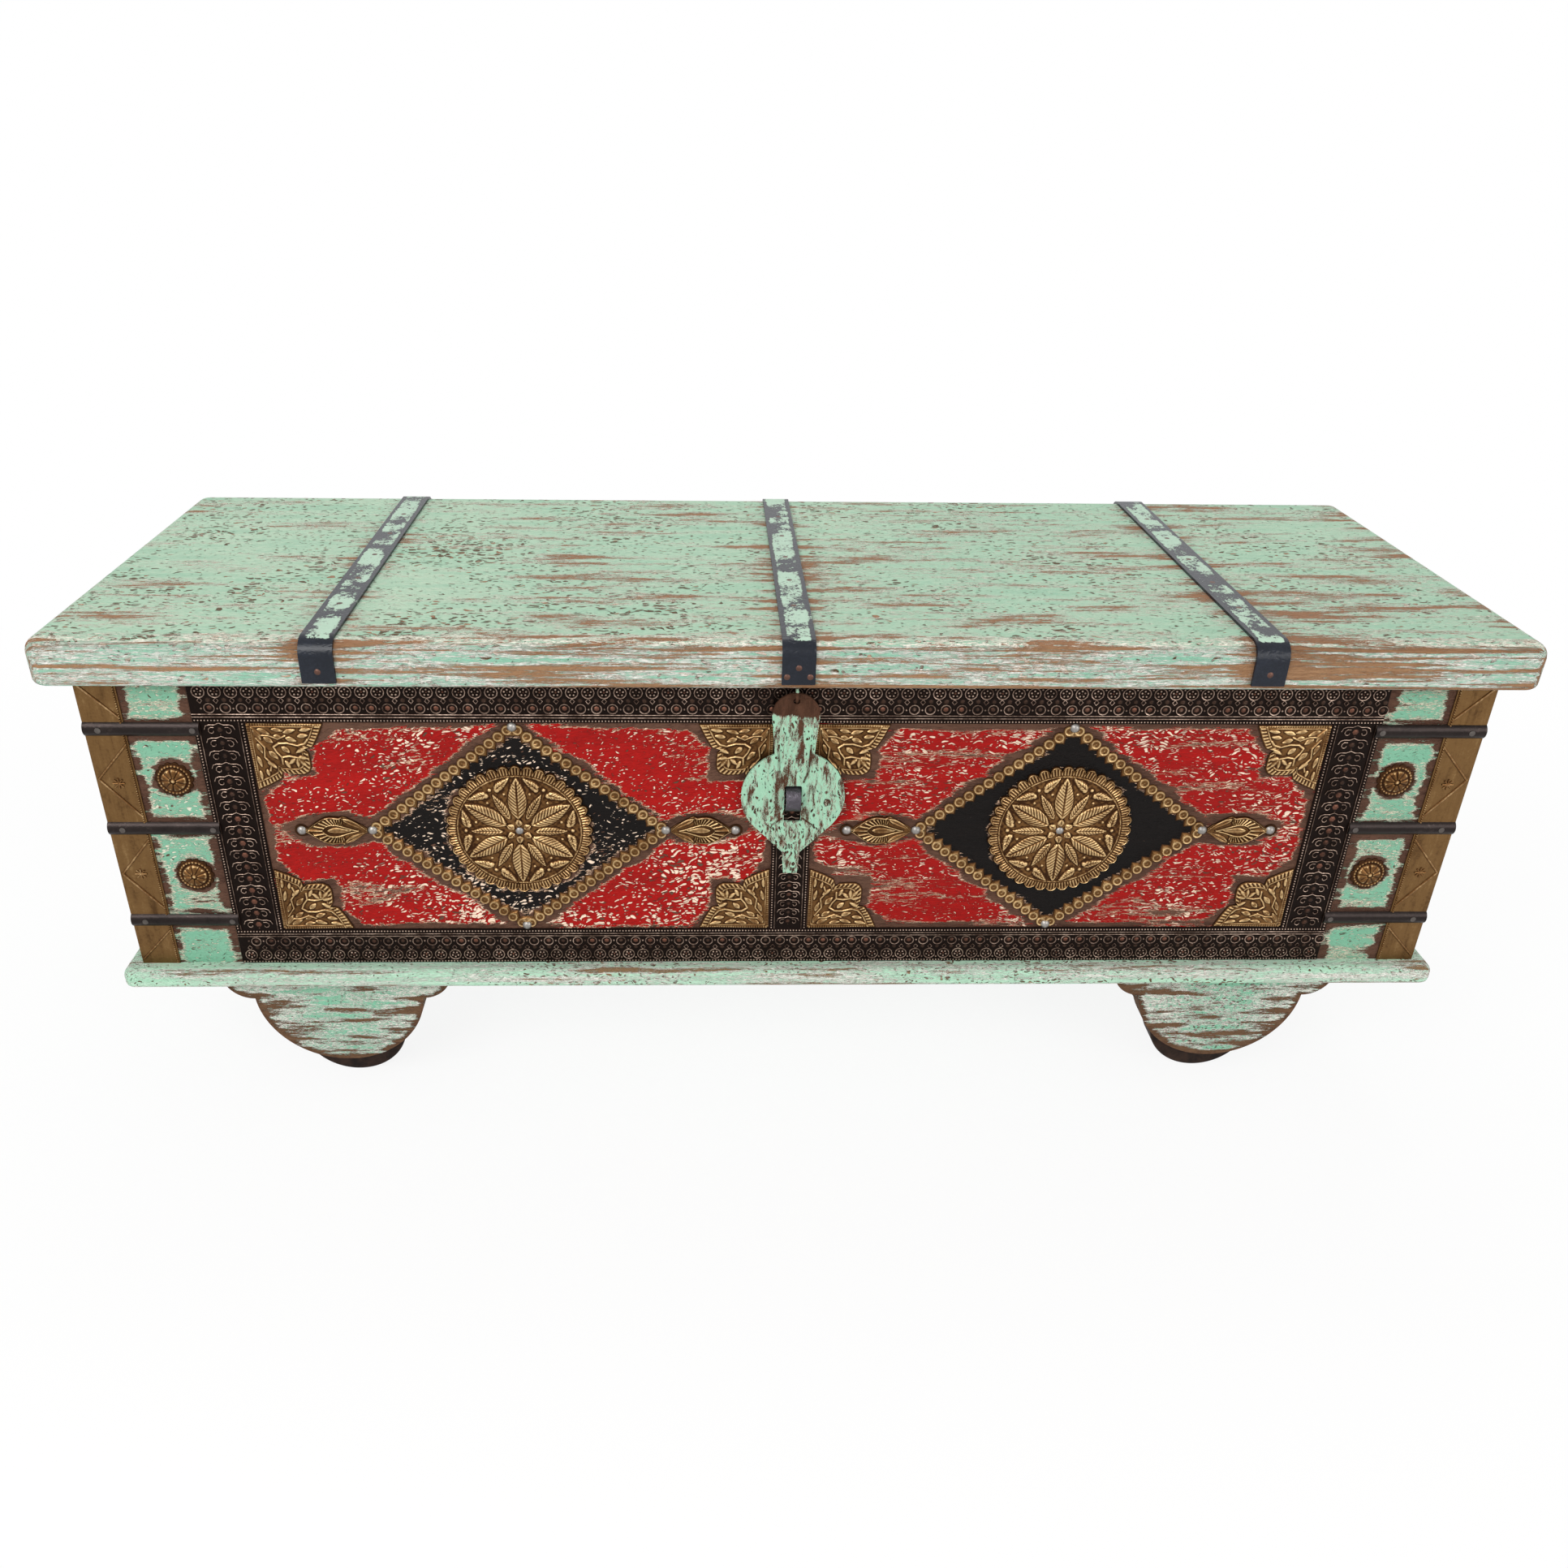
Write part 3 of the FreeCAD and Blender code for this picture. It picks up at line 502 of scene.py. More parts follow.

# %% [markdown]
# The boards below share one function. The base is well covered, with fine brown and cream lines
# along the grain, and its rounded front has a pale line halfway up: partly cream wear, partly a
# painted highlight along the round. The feet are worn much harder: low down, towards their sides
# and along their outline, which is a round with an ear on each side. The walls are plain, and the
# grain of the end walls runs from front to back.

# %% One paint for all boards
foot_x, round_radius, ear_radius = 399 * mm, 75 * mm, 26 * mm
round_z, ear_z = 106.7 * mm, 127 * mm
wall = 17.5 * mm
room_half = (side_x - wall, (back_y - face_y) / 2 - wall, (top_z - floor_z) / 2 + 0.2 * mm)


def far_from(x, z, centre_x, centre_z):
    run = wires(put("CombineXYZ", {0: x - centre_x, 1: z - centre_z}))["Vector"]
    return wires(put("VectorMath", {0: run}, operation="LENGTH"))["Value"]


def board_paint(name, base_wear, dashes, paint, shade, box=None, feet=False, wear_and_highlight_z=None, fringe=0.2,
                grain=(1.0, 5.0, 5.0), **looks):
    material, shader, place = new_material(name)
    x, y, z = axes(place)
    wear = base_wear + bare_inside(place, (0, mid_y, mid_z), room_half)
    if box:
        wear = wear + 0.2 * fade(measure("Edge", place, *box), 6 * mm, 0.5 * mm)
    if feet:
        beside = abs(abs(x) - foot_x)
        at_side = fade(beside, 20 * mm, 60 * mm)
        to_round = round_radius - far_from(beside, z, 0.0, round_z)
        to_ear = ear_radius - far_from(beside, z, round_radius, ear_z)
        wear = wear + 0.12 * fade(z, floor_z - 22 * mm, 70 * mm) + 0.1 * at_side
        wear = wear + 0.3 * fade(most(to_round, to_ear), 7 * mm, 0.5 * mm)
        fringe = fringe + 0.3 * at_side
    # a pale band at this height: cream wear with a painted highlight along the rounded front
    if wear_and_highlight_z:
        fringe = fringe + 0.3 * fade(abs(z - wear_and_highlight_z), 4.5 * mm, 1 * mm)
    paint_layers(shader, place, wear, dashes, paint, shade, fringe=fringe, grain=grain,
                 ground=(252, 251, 240), bump=1.6 * mm, **looks)
    return material


print("the bare inside is", [round(2 * v, 3) for v in room_half], "m")

# %% Base, feet and outer walls
base_low, base_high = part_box("base_board")
base_middle, base_half = tuple((base_low + base_high) / 2), tuple((base_high - base_low) / 2)
base_paint = board_paint(
    "base_paint", 0.22, 0.36, (174, 224, 192), (238, 252, 236),
    box=(base_middle, base_half), wear_and_highlight_z=base_middle[2] + 1 * mm, fringe=0.26, grain=(0.9, 15.0, 15.0),
    dash_grain=(0.7, 1.6, 1.6), dash_colour=(104, 80, 58),
    wood=((100, 74, 50), (150, 122, 90)))
dress(base_paint, "base_board")
wall_box = ((0, mid_y, mid_z), (side_x, (back_y - face_y) / 2, (top_z - floor_z) / 2))
wall_colours = ((170, 206, 177), (128, 186, 156))
dress(board_paint("wall_paint", 0.2, 0.24, *wall_colours, box=wall_box), "back_board")
end_paint = board_paint("end_paint", 0.2, 0.24, *wall_colours, box=wall_box, grain=(5.0, 1.0, 5.0),
                        dash_grain=(1.5, 0.7, 1.5))
dress(end_paint, "end_board_left", "end_board_right")
feet_paint = board_paint(
    "feet_paint", 0.3, 0.44, (126, 202, 166), (196, 236, 208), feet=True, fringe=0.3,
    grain=(2.0, 17.0, 17.0), dash_grain=(0.9, 1.6, 1.6), dash_colour=dark_wood)
bracket_names = [n for n in nodes if "bracket" in n]
dress(feet_paint, "wheel_axles", *bracket_names)
print("painted", len(bracket_names), "foot brackets, the base and three walls")

# %% [markdown]
# The front board carries three paints. Between the metal borders each panel is red with a black
# lozenge, and beyond them the board is green. The painter stopped short of every piece of metal,
# so a dark brown margin follows the borders, the corner sheets, the lozenge strip, the leaves and
# the rosettes. The material works out the distance to each of these shapes, takes the smallest,
# and treats closeness as wear. Folding the board about its middle with Absolute nodes lets one
# set of distances serve both panels and all four corners.

# %% Front board paint: distances to the metal
front_paint, shader, place = new_material("front_paint")
x, y, z = axes(place)
from_middle = abs(x)
across, upward = abs(from_middle - panel_x), abs(z - mid_z)
to_side, to_rail = panel_half[0] - across, panel_half[1] - upward
lobe = most(to_side, to_rail) - 47 * mm
arms = 0.75 * (to_side + to_rail - 68 * mm)
lozenge = across / diamond_half[0] + upward / diamond_half[1]
lozenge_width = diamond_half[0] * diamond_half[1] / math.hypot(*diamond_half)
from_lozenge = lozenge_width * (lozenge - 1.0)
around_strip = abs(from_lozenge) - 5 * mm + 4.5 * mm * fade(from_lozenge, 1 * mm, -1 * mm)


def to_oval(x, z, half_x, half_z):
    wide, high = x / half_x, z / half_z
    return half_z * (calc("SQRT", wide * wide + high * high) - 1.0)


to_leaf = to_oval(across - 150 * mm, upward, 28 * mm, 12.5 * mm)
around_disc = to_oval(across, upward, 61 * mm, 61 * mm) + 5 * mm
to_panel_metal = least(to_side, to_rail, least(lobe, arms), around_strip, to_leaf, around_disc)
print("distances to borders, corners, lozenge, leaves and medallion")

# %% [markdown]
# The green ends have metal of their own on both sides, with three bars and two rosettes between.
# end_share is 1 there and 0 on the panels, so that any setting can be blended between the two.

# %% Front board paint: the green ends
end_low, end_high = 479 * mm, 527 * mm
bar_spacing = 90.7 * mm
row = abs(z - corner_bars_z)
to_sheet = least(from_middle - end_low, end_high - from_middle)
to_bar = least(row, abs(row - bar_spacing)) - 6.5 * mm
to_rosette = to_oval(from_middle - rosette_x, row - rosette_rise, 14 * mm, 14 * mm)
to_end_metal = least(to_sheet, to_bar, to_rosette)
end_share = fade(from_middle, 474 * mm, 476 * mm)
print("distances in the green ends")

# %% [markdown]
# Now each setting of the worn paint is worked out from place to place: the margin along metal is
# nearly bare, the left panel is scratched on a slant, and the right lozenge has stayed whole.

# %% Front board paint: colours and layers
margin = blend(end_share, fade(to_panel_metal, 10 * mm, 0.0), fade(to_end_metal, 8 * mm, 0.0), "FLOAT")
in_lozenge = fade(from_lozenge, 0.5 * mm, -0.5 * mm)
calm = in_lozenge * fade(x, -50 * mm, 50 * mm)
on_left = fade(x, 20 * mm, -20 * mm)


def by_place(panel, black, end):
    return blend(end_share, blend(in_lozenge, panel, black), end)


wear = 0.14 + 0.06 * x + 0.4 * sway(place, 6.0, 1.0) - 0.2 * calm + 0.06 * end_share
wear = wear + (0.2 + 0.25 * on_left) * sway(place, 34.0, 2.0) + (0.62 - 0.1 * end_share) * margin
wear = wear + bare_inside(place, (0, face_y + 60 * mm, mid_z), (1.0, 59 * mm, 1.0))
dashes = blend(end_share, 0.5, 0.36, "FLOAT") * (1.0 - calm)
dashes = (dashes - 0.1 * x - 0.15 * margin) * (1.0 - 0.25 * in_lozenge)
panel_grain = blend(on_left, (0.75, 8.0, 8.0), (1.0, 4.5, 4.5), "VECTOR")
slant = 0.16 * ((1.0 - end_share) * on_left)
slanted = wires(put("VectorRotate", {"Vector": place, "Angle": slant}, rotation_type="Y_AXIS"))["Vector"]
paint_layers(shader, slanted, wear, dashes, by_place((168, 20, 17), (14, 11, 10), (120, 180, 150)),
             by_place((122, 15, 12), (22, 17, 15), (148, 194, 166)),
             wood=((66, 44, 35), (98, 70, 56)),
             ground=blend(end_share, (224, 186, 156), (236, 226, 202)),
             dash_colour=blend(end_share, (246, 220, 196), (226, 228, 206)),
             grain=blend(end_share, panel_grain, (1.3, 11.0, 11.0), "VECTOR"),
             fringe=0.13 + 0.12 * end_share,
             dash_grain=blend(on_left, (0.42, 2.5, 2.5), (0.62, 1.9, 1.9), "VECTOR"), bump=1.3 * mm)
dress(front_paint, "front_board")
print("front board has", len(tree.nodes), "nodes")

# %% [markdown]
# The iron comes next. The corner straps, the staple, the pins and the nails are bare metal of
# different age, so a list of colours is enough for them: hollows, body and ridges, and for two of
# them a smoother shine. The round nail heads in front are steel, and the rest is iron.

# %% Iron and steel
def metal(name, hollow, body, ridge, roughness=None, relief=0.45, metallic=0.85, bump=0.15 * mm):
    """relief is a number, or a function that wires one up from the object's coordinates."""
    material, shader, place = new_material(name)
    level = relief(place) if callable(relief) else relief
    skin = wires(put("Group", {"Vector": place, "Hollow": hollow, "Body": body, "Highlight": ridge,
                               "Relief": level}, node_tree=old_metal))
    fill(shader, {"Metallic": metallic, "Base Color": skin["Color"],
                  "Roughness": roughness or skin["Roughness"]})
    raise_bump(shader, skin["Height"], bump)
    return material


# The third colour of each is a light ridge colour, a painted highlight. These pieces store no relief, so
# it shows in patches where the stain noise lifts the fixed relief number.
irons = {
    "black_iron": ((22, 18, 17), (42, 35, 33), (104, 90, 84), {"roughness": 0.34}),
    "worn_iron": ((30, 26, 28), (84, 80, 86), (196, 194, 204), {"roughness": 0.28, "bump": 0.9 * mm}),
    "nail_steel": ((88, 84, 80), (140, 136, 132), (190, 186, 180), {"relief": 0.6}),
    "strap_nail_iron": ((44, 34, 34), (100, 72, 62), (150, 118, 104), {}),
    "rubbed_iron": ((52, 46, 44), (90, 84, 80), (136, 130, 124), {"relief": 0.5})}
iron_pieces = {
    "black_iron": [n for n in nodes if n.startswith(("corner_straps_", "hinge_"))],
    "worn_iron": ["staple"], "nail_steel": ["dome_nails"], "strap_nail_iron": ["lid_strap_nails"],
    "rubbed_iron": ["corner_strap_nails"]}
for name, (hollow, body, ridge, options) in irons.items():
    dress(metal(name, hollow, body, ridge, **options), *iron_pieces[name])
    print(name, "on", iron_pieces[name])

# %% [markdown]
# The lid straps were painted mint with the lid and have lost most of it, so they use the same
# worn paint with iron in the place of the wood. The hasp is painted the same way, but its streaks
# run up and down, because that is how it was rubbed, and its top is bare where it was held.

# %% Painted iron: lid straps and hasp
strap_paint, shader, place = new_material("strap_paint")
x, y, z = axes(place)
rim = fade(from_strap(x), 8.0 * mm, 11.5 * mm)
turned_down = fade(y, lid_low.y + 7 * mm, lid_low.y + 3 * mm)
wear = 0.44 + 0.5 * rim + 0.85 * turned_down + 1.5 * sway(place, 24.0, 6.0, 0.68)
layers = paint_layers(shader, place, wear, 0.2, (172, 200, 178), (188, 214, 194),
                      wood=((16, 21, 31), (26, 31, 42)),
                      ground=(210, 226, 206), dash_colour=(64, 66, 66),
                      fringe=0.06, grain=(3.0, 3.0, 3.0), bump=0.3 * mm)
shine = wires(put("MapRange", {"Value": layers["Bare"], "To Min": 0.5, "To Max": 0.24}))["Result"]
fill(shader, {"Roughness": shine, "Specular IOR Level": 0.3})
dress(strap_paint, "lid_strap_left", "lid_strap_middle", "lid_strap_right")


def stored(name):
    """A number that is stored at every point of a mesh."""
    return wires(put("Attribute", {}, attribute_name=name))["Fac"]


hasp_low, hasp_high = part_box("hasp_plate")
hasp_paint, shader, place = new_material("hasp_paint")
x, y, z = axes(place)
top_bare = fade(z, hasp_high.z - 22 * mm, hasp_high.z - 14 * mm)
top_bare = top_bare * fade(z, hasp_high.z + 3 * mm, hasp_high.z + 1 * mm)
on_neck = fade(z, hasp_low.z + 98 * mm, hasp_low.z + 112 * mm)
wear = 0.34 + 0.9 * top_bare + 0.08 * on_neck + 0.25 * stored("crease")
paint_layers(shader, place, wear, 0.52, (156, 206, 174), (196, 238, 210),
             wood=((66, 42, 29), (92, 62, 46)), ground=(232, 230, 206),
             dash_colour=(66, 42, 29), fringe=0.13, grain=(22.0, 22.0, 5.0),
             dash_grain=(1.7, 1.7, 0.6), bump=1.3 * mm)
dress(hasp_paint, "hasp_plate", "hasp_eye")
print("painted iron:", strap_paint.name, hasp_paint.name)

# %% [markdown]
# Brass and the blackened border sheet differ only in their three colours. Their relief is a
# number stored at every point of an embossed piece, under the name relief: 0 in the creases and
# 1 on the ridges. The piece's own shape decides it, so a vein keeps its painted shade and a ridge
# its painted highlight from any side. The corner sheets are plain solids without that number, so
# theirs is a middle value, streaked.

# %% Brass and border sheet
def embossed_relief(place):
    return stored("relief")


def streaked_relief(place):
    drawn_out = vector_calc("MULTIPLY", place, (6.0, 6.0, 0.7))
    return 1.1 * noise(drawn_out, 30.0, 4.0, 0.6) - 0.1


# The third colour of each is the ridge colour, a painted highlight; the first is the hollow colour,
# patina with painted shade in the creases.
brass = metal("ornament_brass", (58, 34, 15), (113, 79, 44), (208, 176, 127), relief=embossed_relief,
              metallic=0.9)
corner_brass = metal("corner_brass", (84, 58, 30), (116, 86, 50), (150, 120, 78), relief=streaked_relief)
dress(corner_brass, "corner_sheet_left", "corner_sheet_right")
border_metal = metal("border_metal", (25, 16, 12), (64, 47, 38), (204, 178, 160),
                     relief=embossed_relief, metallic=0.9)
rubbed = noise(own_place(), 40.0, 3.0)
copper = stored("copper") * fade(rubbed, 0.42, 0.62)
colour_in = tree.nodes["Principled BSDF"].inputs["Base Color"]
join(blend(copper, Wire(colour_in.links[0].from_socket), (106, 70, 56)), colour_in)
dress(border_metal, *(n for n in nodes if n.startswith("border_")))
print("embossed metals:", brass.name, border_metal.name, corner_brass.name)

# %% [markdown]
# The wheels are dark oiled wood that hardly shows under the feet: brown streaks that are packed
# closely along their axle, and a dull surface.

# %% Wheels
wheel_wood, shader, place = new_material("wheel_wood")
streaks = noise(vector_calc("MULTIPLY", place, (1.0, 5.0, 1.0)), 90.0, 4.0, 0.6)
wheel_brown = blend(fade(streaks, 0.3, 0.7), (20, 12, 9), (52, 36, 28))
fill(shader, {"Base Color": wheel_brown, "Roughness": 0.6, "Specular IOR Level": 0.15})
raise_bump(shader, streaks, 0.5 * mm)
wheel_names = [n for n in nodes if n.startswith("wheel_") and n != "wheel_axles"]
dress(wheel_wood, *wheel_names)
print("stained", len(wheel_names), "wheels")

# %% [markdown]
# Now the ornaments. The real ones are thin brass, pressed over a carved die, so each is made as
# one sheet: a fine grid is added flat, and every point of it is pushed out by the height of the
# die under it. Building a leaf rosette from separate solids would be quicker, but the leaves
# would sit on the disc like shells instead of growing out of it. The grid is rolled up to a disc
# or a leaf outline first, so that the rim is a clean line. Its open edge is then extruded back to
# the board and closed. The relief number is worked out at the same time: it is the height, plus
# how far a point lies above or below the average of its neighbours, which finds veins and creases.

# %% Helpers for pressed sheets
low_rim, sheet_rise = 0.8, 1.3  # millimetres over the board, at the rim and inside it
move = Matrix.Translation


def only(piece):
    bpy.ops.object.select_all(action="DESELECT")
    piece.select_set(True)
    bpy.context.view_layer.objects.active = piece


def store(piece, name, values):
    held = piece.data.attributes.new(name, "FLOAT", "POINT")
    held.data.foreach_set("value", np.asarray(values, dtype=np.float32))


def shape(add, **settings):
    """One primitive by itself, with its place and turn applied."""
    bpy.ops.object.select_all(action="DESELECT")
    add(**settings)
    bpy.ops.object.transform_apply(location=True, rotation=True, scale=True)
    return bpy.context.object


def points_of(piece):
    flat = np.empty(len(piece.data.vertices) * 3)
    piece.data.vertices.foreach_get("co", flat)
    return flat.reshape(-1, 3)


def softened(height, rows, columns, reach):
    """The same heights with every point averaged over its neighbours on the grid."""
    grid = height.reshape(rows, columns)
    for axis in (0, 1):
        grid = sum(np.roll(grid, k, axis) for k in range(-reach, reach + 1)) / (2 * reach + 1)
    return grid.ravel()


def pressed_sheet(columns, rows, plan, ground=0.3, painted_shading=1.0):
    """plan(u, v) takes two arrays from -1 to 1 and gives x, z and the height in millimetres."""
    sheet = shape(bpy.ops.mesh.primitive_grid_add, x_subdivisions=columns, y_subdivisions=rows, size=2)
    u, v = points_of(sheet).T[:2]
    x, z, height = plan(u, v)
    sheet.data.vertices.foreach_set("co", np.column_stack([x, -height, z]).ravel() * mm)
    # The relief number gives veins and creases painted shade and raised parts a painted highlight; the
    # last parameter sets how strong both are.
    crease = height - softened(height, rows + 1, columns + 1, 3)
    raised = (height - height.min()) / (height.max() - height.min())
    store(sheet, "relief", np.clip(ground + painted_shading * (0.3 * raised + 1.5 * crease), 0, 1))
    bpy.ops.object.mode_set(mode="EDIT")
    bpy.ops.mesh.select_all(action="SELECT")
    bpy.ops.mesh.remove_doubles(threshold=0.01 * mm)
    bpy.ops.mesh.select_all(action="DESELECT")
    bpy.ops.mesh.select_mode(type="EDGE")
    bpy.ops.mesh.select_non_manifold()
    bpy.ops.mesh.extrude_region_move(TRANSFORM_OT_translate={"value": (0, low_rim * mm, 0)})
    bpy.ops.mesh.edge_face_add()
    bpy.ops.mesh.select_mode(type="VERT")
    bpy.ops.object.mode_set(mode="OBJECT")
    bpy.ops.object.shade_smooth_by_angle(angle=math.radians(60))
    return sheet


print("sheet helpers are ready")

# %% [markdown]
# What was modelled once is then copied to its places. Each copy has a mesh of its own, so that a
# mirrored one can have its faces turned outwards again. Copies are joined to one piece, which
# gets its material, the body that it rides on, and the plain solid that it stands in for.

# %% Helpers for placing pieces
def placed_copy(piece, matrix, name="copy"):
    """A copy with its own mesh, and its place in that mesh."""
    made = bpy.data.objects.new(name, piece.data.copy())
    bpy.context.scene.collection.objects.link(made)
    made.data.transform(matrix)
    if matrix.determinant() < 0:
        made.data.flip_normals()
    return made


def joined(name, parts):
    bpy.ops.object.select_all(action="DESELECT")
    for part in parts:
        part.select_set(True)
    bpy.context.view_layer.objects.active = parts[0]
    if len(parts) > 1:
        bpy.ops.object.join()
    whole = bpy.context.view_layer.objects.active
    whole.name = name
    return whole


def finish_piece(piece, material, body, slot, *replaced):
    piece.data.materials.clear()
    piece.data.materials.append(material)
    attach(piece, body)
    if replaced:
        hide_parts(*replaced)
    print(piece.name, "has", len(piece.data.polygons), "faces")


def on_panels(ornament, name, replaced, places):
    """Copies of an ornament at the given places about the middle of each panel."""
    for side, middle_x in (("left", -panel_x), ("right", panel_x)):
        middle = move((middle_x, face_y, mid_z))
        whole = joined(f"{name}_{side}", [placed_copy(ornament, middle @ place) for place in places])
        finish_piece(whole, brass, "chest", "brass", f"{replaced}_{side}")
    bpy.data.objects.remove(ornament)


four_corners = [(x_way, z_way) for x_way in (-1, 1) for z_way in (-1, 1)]
print("placing helpers are ready")

# %% [markdown]
# A leaf is the shape that comes back everywhere on these ornaments. Seen from above it is a lens,
# fullest a little before the middle. Its height is a low crown with a groove along the middle and
# slanted barbs on both sides. The function gives the height of one leaf at every point of a
# sheet, all in millimetres, and where leaves meet, the highest one wins.

# %% Height of one leaf
def leaf(x, z, start, angle, length, width, rise, barb=2.6, full=0.8, split=0.42):
    run, side = x - start[0], z - start[1]
    along = (run * math.cos(angle) + side * math.sin(angle)) / length
    across = -run * math.sin(angle) + side * math.cos(angle)
    inside = np.clip(along, 0.0, 1.0)
    tiny = 1e-6
    half = np.maximum(width / 2 * np.sin(np.pi * inside ** full) ** 0.8, tiny)
    crown = np.clip(1 - (across / half) ** 2, 0, 1) ** 0.4
    groove = split * ridge(across, 0.15 * split * width)
    wave = np.cos(2 * np.pi * (along * length - np.abs(across) * 0.9) / barb)
    barbs = 0.34 * np.clip(wave, 0, 1) ** 2 * np.clip(np.abs(across) / (0.12 * width), 0, 1)
    height = rise * crown * (1 - groove - barbs)
    return np.where((along > 0) & (along < 1), np.maximum(height, 0), 0)


def knob(x, z, centre, radius, rise):
    far = ((x - centre[0]) ** 2 + (z - centre[1]) ** 2) / radius ** 2
    return rise * np.sqrt(np.clip(1 - far, 0, 1))


def at(radius, degrees):
    turn = math.radians(degrees)
    return radius * math.cos(turn), radius * math.sin(turn)


def tallest(*heights):
    return np.maximum.reduce(heights)


def ridge(distance, width):
    """1 on a line, falling softly to 0 beside it."""
    return np.exp(-(distance / width) ** 2)


def waves(phase):
    return 0.5 + 0.5 * np.cos(phase)


trial = leaf(np.array([8.0]), np.array([1.0]), (0, 0), 0, 20, 8, 2)
print("a 20 mm leaf is", round(float(trial[0]), 2), "mm high near its middle")

# %% [markdown]
# The medallion is the centre of each panel: twelve leaves round a small flower, a thin ring,
# curled leaves between the tips, and a scalloped rim with short strokes. The grid's u runs round
# it and v runs outwards, and the rim's radius swells thirty-six times on the way round.

# %% Medallions
def medallion_plan(u, v):
    turn, share = -np.pi * u, (v + 1) / 2
    edge = 56.4 + 4.6 * np.abs(np.cos(18 * turn)) ** 0.6
    radius = share * edge
    x, z = radius * np.cos(turn), radius * np.sin(turn)
    h = np.zeros_like(x)
    for k in range(6):
        big, small = 90 + 60 * k, 60 + 60 * k
        way, small_way = math.radians(big), math.radians(small)
        h = tallest(h, leaf(x, z, at(12.0, big), way, 38, 15.5, 2.4, 3.0),
                    leaf(x, z, at(13.5, small), small_way, 26, 7.6, 1.9, 2.6),
                    leaf(x, z, at(4.6, big), way, 7, 6, 1.7, 9.0),
                    knob(x, z, at(44, small), 1.5, 1.1))
        for side in (-1, 1):
            broad_end, thin_end = at(42.5, big + side * 24), at(50, big + side * 6)
            swing = math.atan2(thin_end[1] - broad_end[1], thin_end[0] - broad_end[0])
            h = tallest(h, leaf(x, z, broad_end, swing, 16, 7.0, 1.8, 2.4, 0.55),
                        knob(x, z, at(41.5, big + side * 22.5), 2.3, 1.9),
                        knob(x, z, at(36, big + side * 17), 1.1, 0.9))
    strokes = 0.9 * waves(144 * turn) * ((radius > 52.2) & (radius < edge - 2.0))
    h = tallest(h, 0.7 * ridge(radius - 51.0, 0.5), strokes, ridge(edge - radius - 1.3, 0.6))
    grit = 0.1 * np.sin(x / 0.9) * np.sin(z / 0.9) * (h < 0.2)
    dome = np.clip(1 - (radius / 51) ** 2, 0, 1)
    return x, z, sheet_rise + dome + (h + grit) * (share < 0.995) - 0.5 * (share > 0.995)


on_panels(pressed_sheet(576, 96, medallion_plan), "medallion_relief", "medallion", [Matrix()])

# %% [markdown]
# A corner sheet fills each corner of a panel. Its outline, seen from the corner, runs out to a
# pointed tip along each border and swells to a cusped lobe on the diagonal, so it can be written
# as a distance from the corner for each direction. Inside a raised line that follows the edge,
# curling stems with leaves climb to a small flower in the lobe. They are not the same on both
# sides of the diagonal, so each leaf is given by its two ends and each stem by a short path.

# %% Corner ornaments: outline and drawing
no_barbs = 9000.0  # a spacing so wide that a leaf shows none
half_turns = [0, 8, 17, 23, 26, 28, 30, 36, 41, 45]
half_reach = [60, 57.3, 55, 54, 51, 48.5, 52.5, 57, 61, 62]
outline_turns = np.radians(half_turns + [90 - t for t in half_turns[-2::-1]])
outline_reach = half_reach + half_reach[-2::-1]
# each leaf: the two ends x, z, x, z and the width, in millimetres from the corner
corner_leaves = (
    (4.5, 5.5, 10, 14.5, 4.4), (8, 4.6, 17.5, 9.5, 4.2), (12, 12, 19, 17, 4.6), (19, 4.8, 28, 6.6, 3.8),
    (28, 8.0, 38, 5.4, 4.0), (41, 6.2, 51, 4.4, 3.8), (20, 10.6, 27, 12.4, 3.6),
    (29, 12.6, 37.5, 15.6, 4.6), (38.5, 11.4, 47.5, 10.2, 4.0), (25, 20.5, 31, 26, 4.6),
    (14.5, 24.5, 21, 31.5, 4.8), (44, 21.5, 35.5, 26, 3.8), (37, 30, 44, 31, 4.2),
    (37, 31, 42.5, 38, 4.4), (36, 31, 36, 39, 3.8), (34.5, 31, 29, 36, 3.6),
    (6.2, 17.5, 9.6, 26.5, 3.8), (4.8, 29, 7.0, 39, 3.6), (12, 34, 19, 40, 4.0),
    (4.8, 42, 5.4, 51, 3.4), (26, 33, 29.5, 40, 3.8), (10.5, 41, 11.5, 47, 3.2))
corner_stems = (
    ((37.5, 19.5), (30, 17.4), (23, 17.6), (18.5, 20.8), (20.5, 25.5), (24, 30), (24, 36)),
    ((3.5, 3.5), (10, 10.5), (16, 10.6), (23, 13.6), (29, 11)), ((37.5, 19.5), (43, 18), (46, 14.5)),
    ((24, 30), (30, 29), (37, 30.5)), ((6, 13), (11.5, 21), (10.5, 30), (15, 36), (13, 42)))


print("the drawing has", len(corner_leaves), "leaves and", len(corner_stems), "stems")

# %% Corner ornaments: the sheets
def to_path(x, z, path):
    """The distance from every point to a chain of straight runs."""
    nearest = np.full_like(x, 1000.0)
    for (x0, z0), (x1, z1) in zip(path, path[1:]):
        run_x, run_z, from_x, from_z = x1 - x0, z1 - z0, x - x0, z - z0
        along = np.clip((from_x * run_x + from_z * run_z) / (run_x ** 2 + run_z ** 2), 0, 1)
        nearest = np.minimum(nearest, np.hypot(from_x - along * run_x, from_z - along * run_z))
    return nearest


